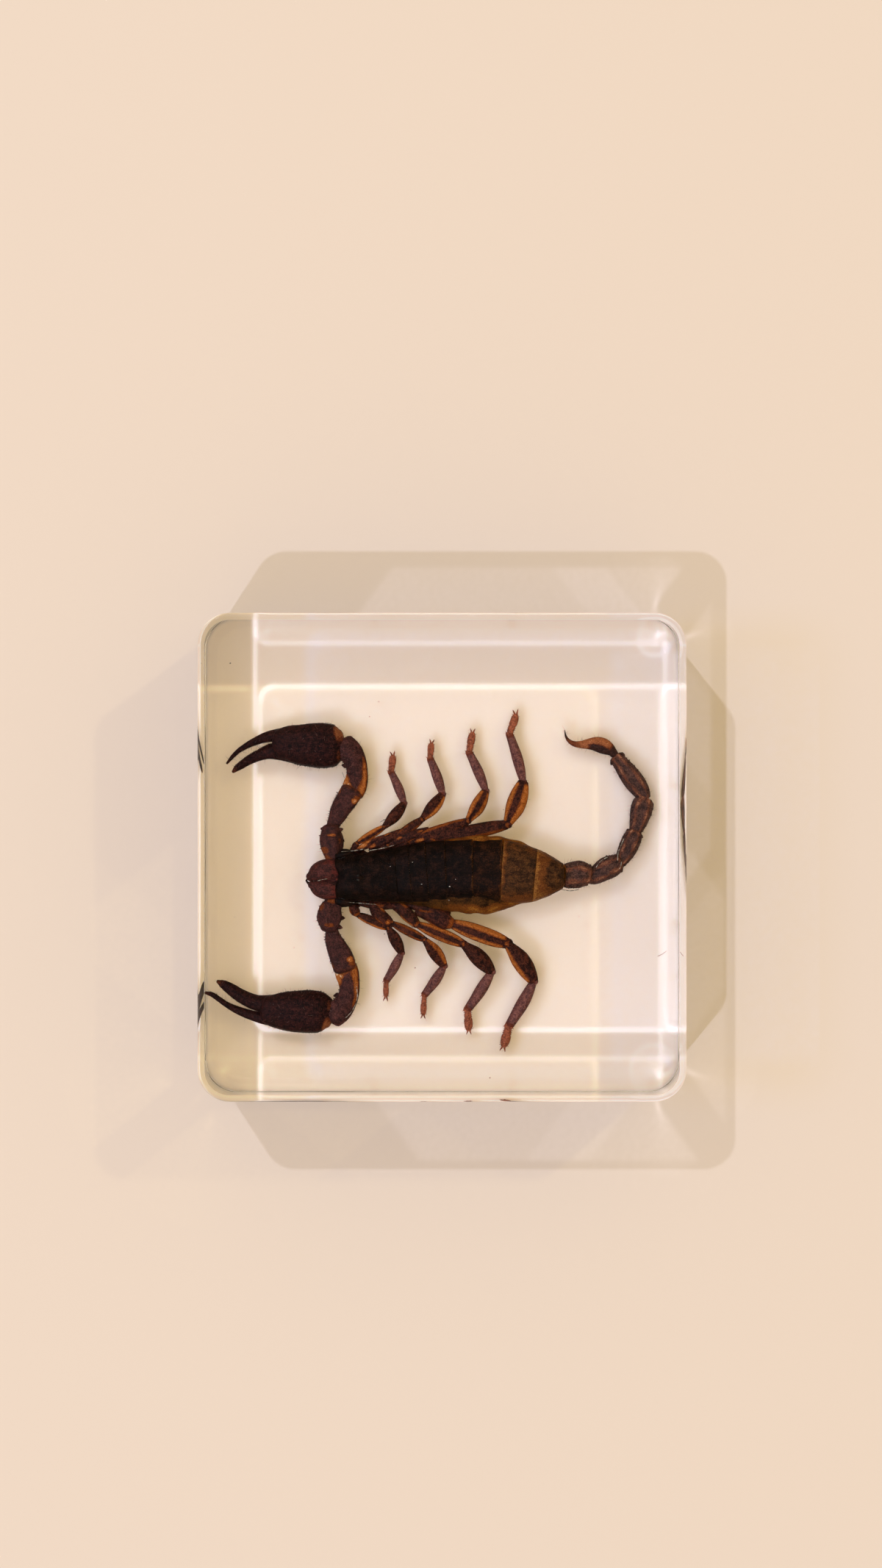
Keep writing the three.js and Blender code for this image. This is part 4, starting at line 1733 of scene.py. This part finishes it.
def shadowMap(lean, points):
    # where the specimen keeps this lamp's light off the floor below it
    size = math.hypot(*lean)
    inner = size / math.sqrt(1 + size**2) / resin["ior"]
    inner = inner / math.sqrt(1 - inner**2) / size
    landed = points[:, :2] - np.array(lean) * inner * points[:, 2:]
    amount = laid(landed, np.ones(len(landed))).reshape(floorCells, floorCells)
    dark = np.clip(amount * room["shadow"], 0, 1)
    for _ in range(room["shadowSoftening"]):
        upDown = dark + np.roll(dark, 1, 0) + np.roll(dark, -1, 0)
        dark = (upDown + np.roll(dark, 1, 1) + np.roll(dark, -1, 1)) / 5

    def look(places):
        at = np.clip(((places + room["patch"]) / room["cell"]).round().astype(int), 0, floorCells - 1)
        return 1 - dark[at[:, 1], at[:, 0]]

    return look


def makeFloor():
    # a fine patch that holds the followed light, and four wide faces from its corners to the floor's ends
    line = np.linspace(-room["patch"], room["patch"], floorCells) * mm
    across, along = np.meshgrid(line, line)
    verts = np.column_stack([across.ravel(), along.ravel(), np.zeros(floorCells**2)]).tolist()
    half = room["floorSize"] / 2
    verts += [(-half, -half, 0), (half, -half, 0), (half, half, 0), (-half, half, 0)]
    i, j = np.meshgrid(np.arange(floorCells - 1), np.arange(floorCells - 1))
    start = (j * floorCells + i).ravel()
    faces = np.column_stack([start, start + 1, start + floorCells + 1, start + floorCells]).tolist()
    far = floorCells**2
    near = (0, floorCells - 1, far - 1, far - floorCells)
    for k in range(4):
        faces.append((far + k, far + (k + 1) % 4, near[(k + 1) % 4], near[k]))
    mesh = bpy.data.meshes.new("floor")
    mesh.from_pydata(verts, [], faces)
    points = specimenPoints()
    glow = np.zeros((len(verts), 4), np.float32)
    for name, lamp in lamps.items():
        light = followLight(lamp["lean"], lamp["width"], shadowMap(lamp["lean"], points))
        glow[: len(light), :3] += light[:, None] * np.array(lamp["light"]) * np.array(room["floorColour"])
        print("light followed from", name)
    radius = resin["cornerRadius"]
    corner = np.maximum(np.abs(np.array(verts)[:, :2] / mm) - resin["side"] / 2 + radius, 0)
    under = 1 - eased(np.linalg.norm(corner, axis=1), radius - room["underFade"], radius)
    glow[:, :3] += under[:, None] * np.array(room["underBlock"])
    held = mesh.attributes.new("bentLight", "FLOAT_COLOR", "POINT")
    held.data.foreach_set("color", glow.ravel())
    floor = intoScene("floor", mesh)
    floor.location.z = -0.03 * mm  # a hair below the block, so that the two don't touch
    s = Shading("pale floor")
    # the floor's emission is painted light: lamp light bent through the block, with the specimen's painted
    # shadows in it, and the light scattered under the block
    bent = s.node("ShaderNodeAttribute", {"attribute_name": "bentLight"}, {}, "Color")
    mesh.materials.append(s.close(s.solid({
        "Base Color": rgb(*room["floorColour"]),
        "Roughness": 0.8,
        "Specular IOR Level": 0.1,
        "Emission Color": bent,
        "Emission Strength": 1.0,
    })))


def makeLamps():
    world = bpy.data.worlds.new("softRoom")
    world.use_nodes = True
    background = world.node_tree.nodes["Background"]
    background.inputs["Color"].default_value = room["world"]
    background.inputs["Strength"].default_value = room["worldStrength"]
    bpy.context.scene.world = world
    for name, lamp in lamps.items():
        light = bpy.data.lights.new(name, "AREA")
        light.shape = "DISK"
        place = Vector((lamp["lean"][0], lamp["lean"][1], 1.0)) * room["lampHeight"]
        light.size = lamp["width"] * place.length
        strongest = max(lamp["light"])
        light.energy = strongest * math.pi**2 * place.length**3 / room["lampHeight"]
        light.color = [part / strongest for part in lamp["light"]]
        stand = intoScene(name, light)
        stand.location = place
        stand.rotation_euler = (-place).to_track_quat("-Z", "Y").to_euler()
        stand.visible_transmission = False  # its light through the resin is laid on the floor already


def makeCard():
    # what the top face mirrors straight above is dark, as a camera and its holder are
    mesh = bpy.data.meshes.new("darkCard")
    work = bmesh.new()
    bmesh.ops.create_circle(work, cap_ends=True, radius=room["card"]["radius"], segments=48)
    work.to_mesh(mesh)
    work.free()
    s = Shading("dark card")
    mesh.materials.append(s.close(s.node("ShaderNodeBsdfDiffuse", {}, {"Color": rgb(0.004, 0.003, 0.003)})))
    card = intoScene("darkCard", mesh)
    card.location = (looking["x"] * mm, looking["y"] * mm, room["card"]["height"])
    for kind in ("camera", "diffuse", "transmission", "volume_scatter", "shadow"):
        setattr(card, "visible_" + kind, False)


def makeCamera():
    camera = bpy.data.cameras.new("camera")
    camera.sensor_width = looking["sensor"]
    camera.lens = looking["sensor"] * looking["height"] / looking["frameHeight"]
    camera.clip_start = 0.01
    holder = intoScene("camera", camera)
    holder.location = (looking["x"] * mm, looking["y"] * mm, (resin["thickness"] + looking["height"]) * mm)
    bpy.context.scene.camera = holder
    bpy.context.scene.view_settings.view_transform = "Standard"


makeFloor()
makeLamps()
makeCard()
makeCamera()
print("room lit")
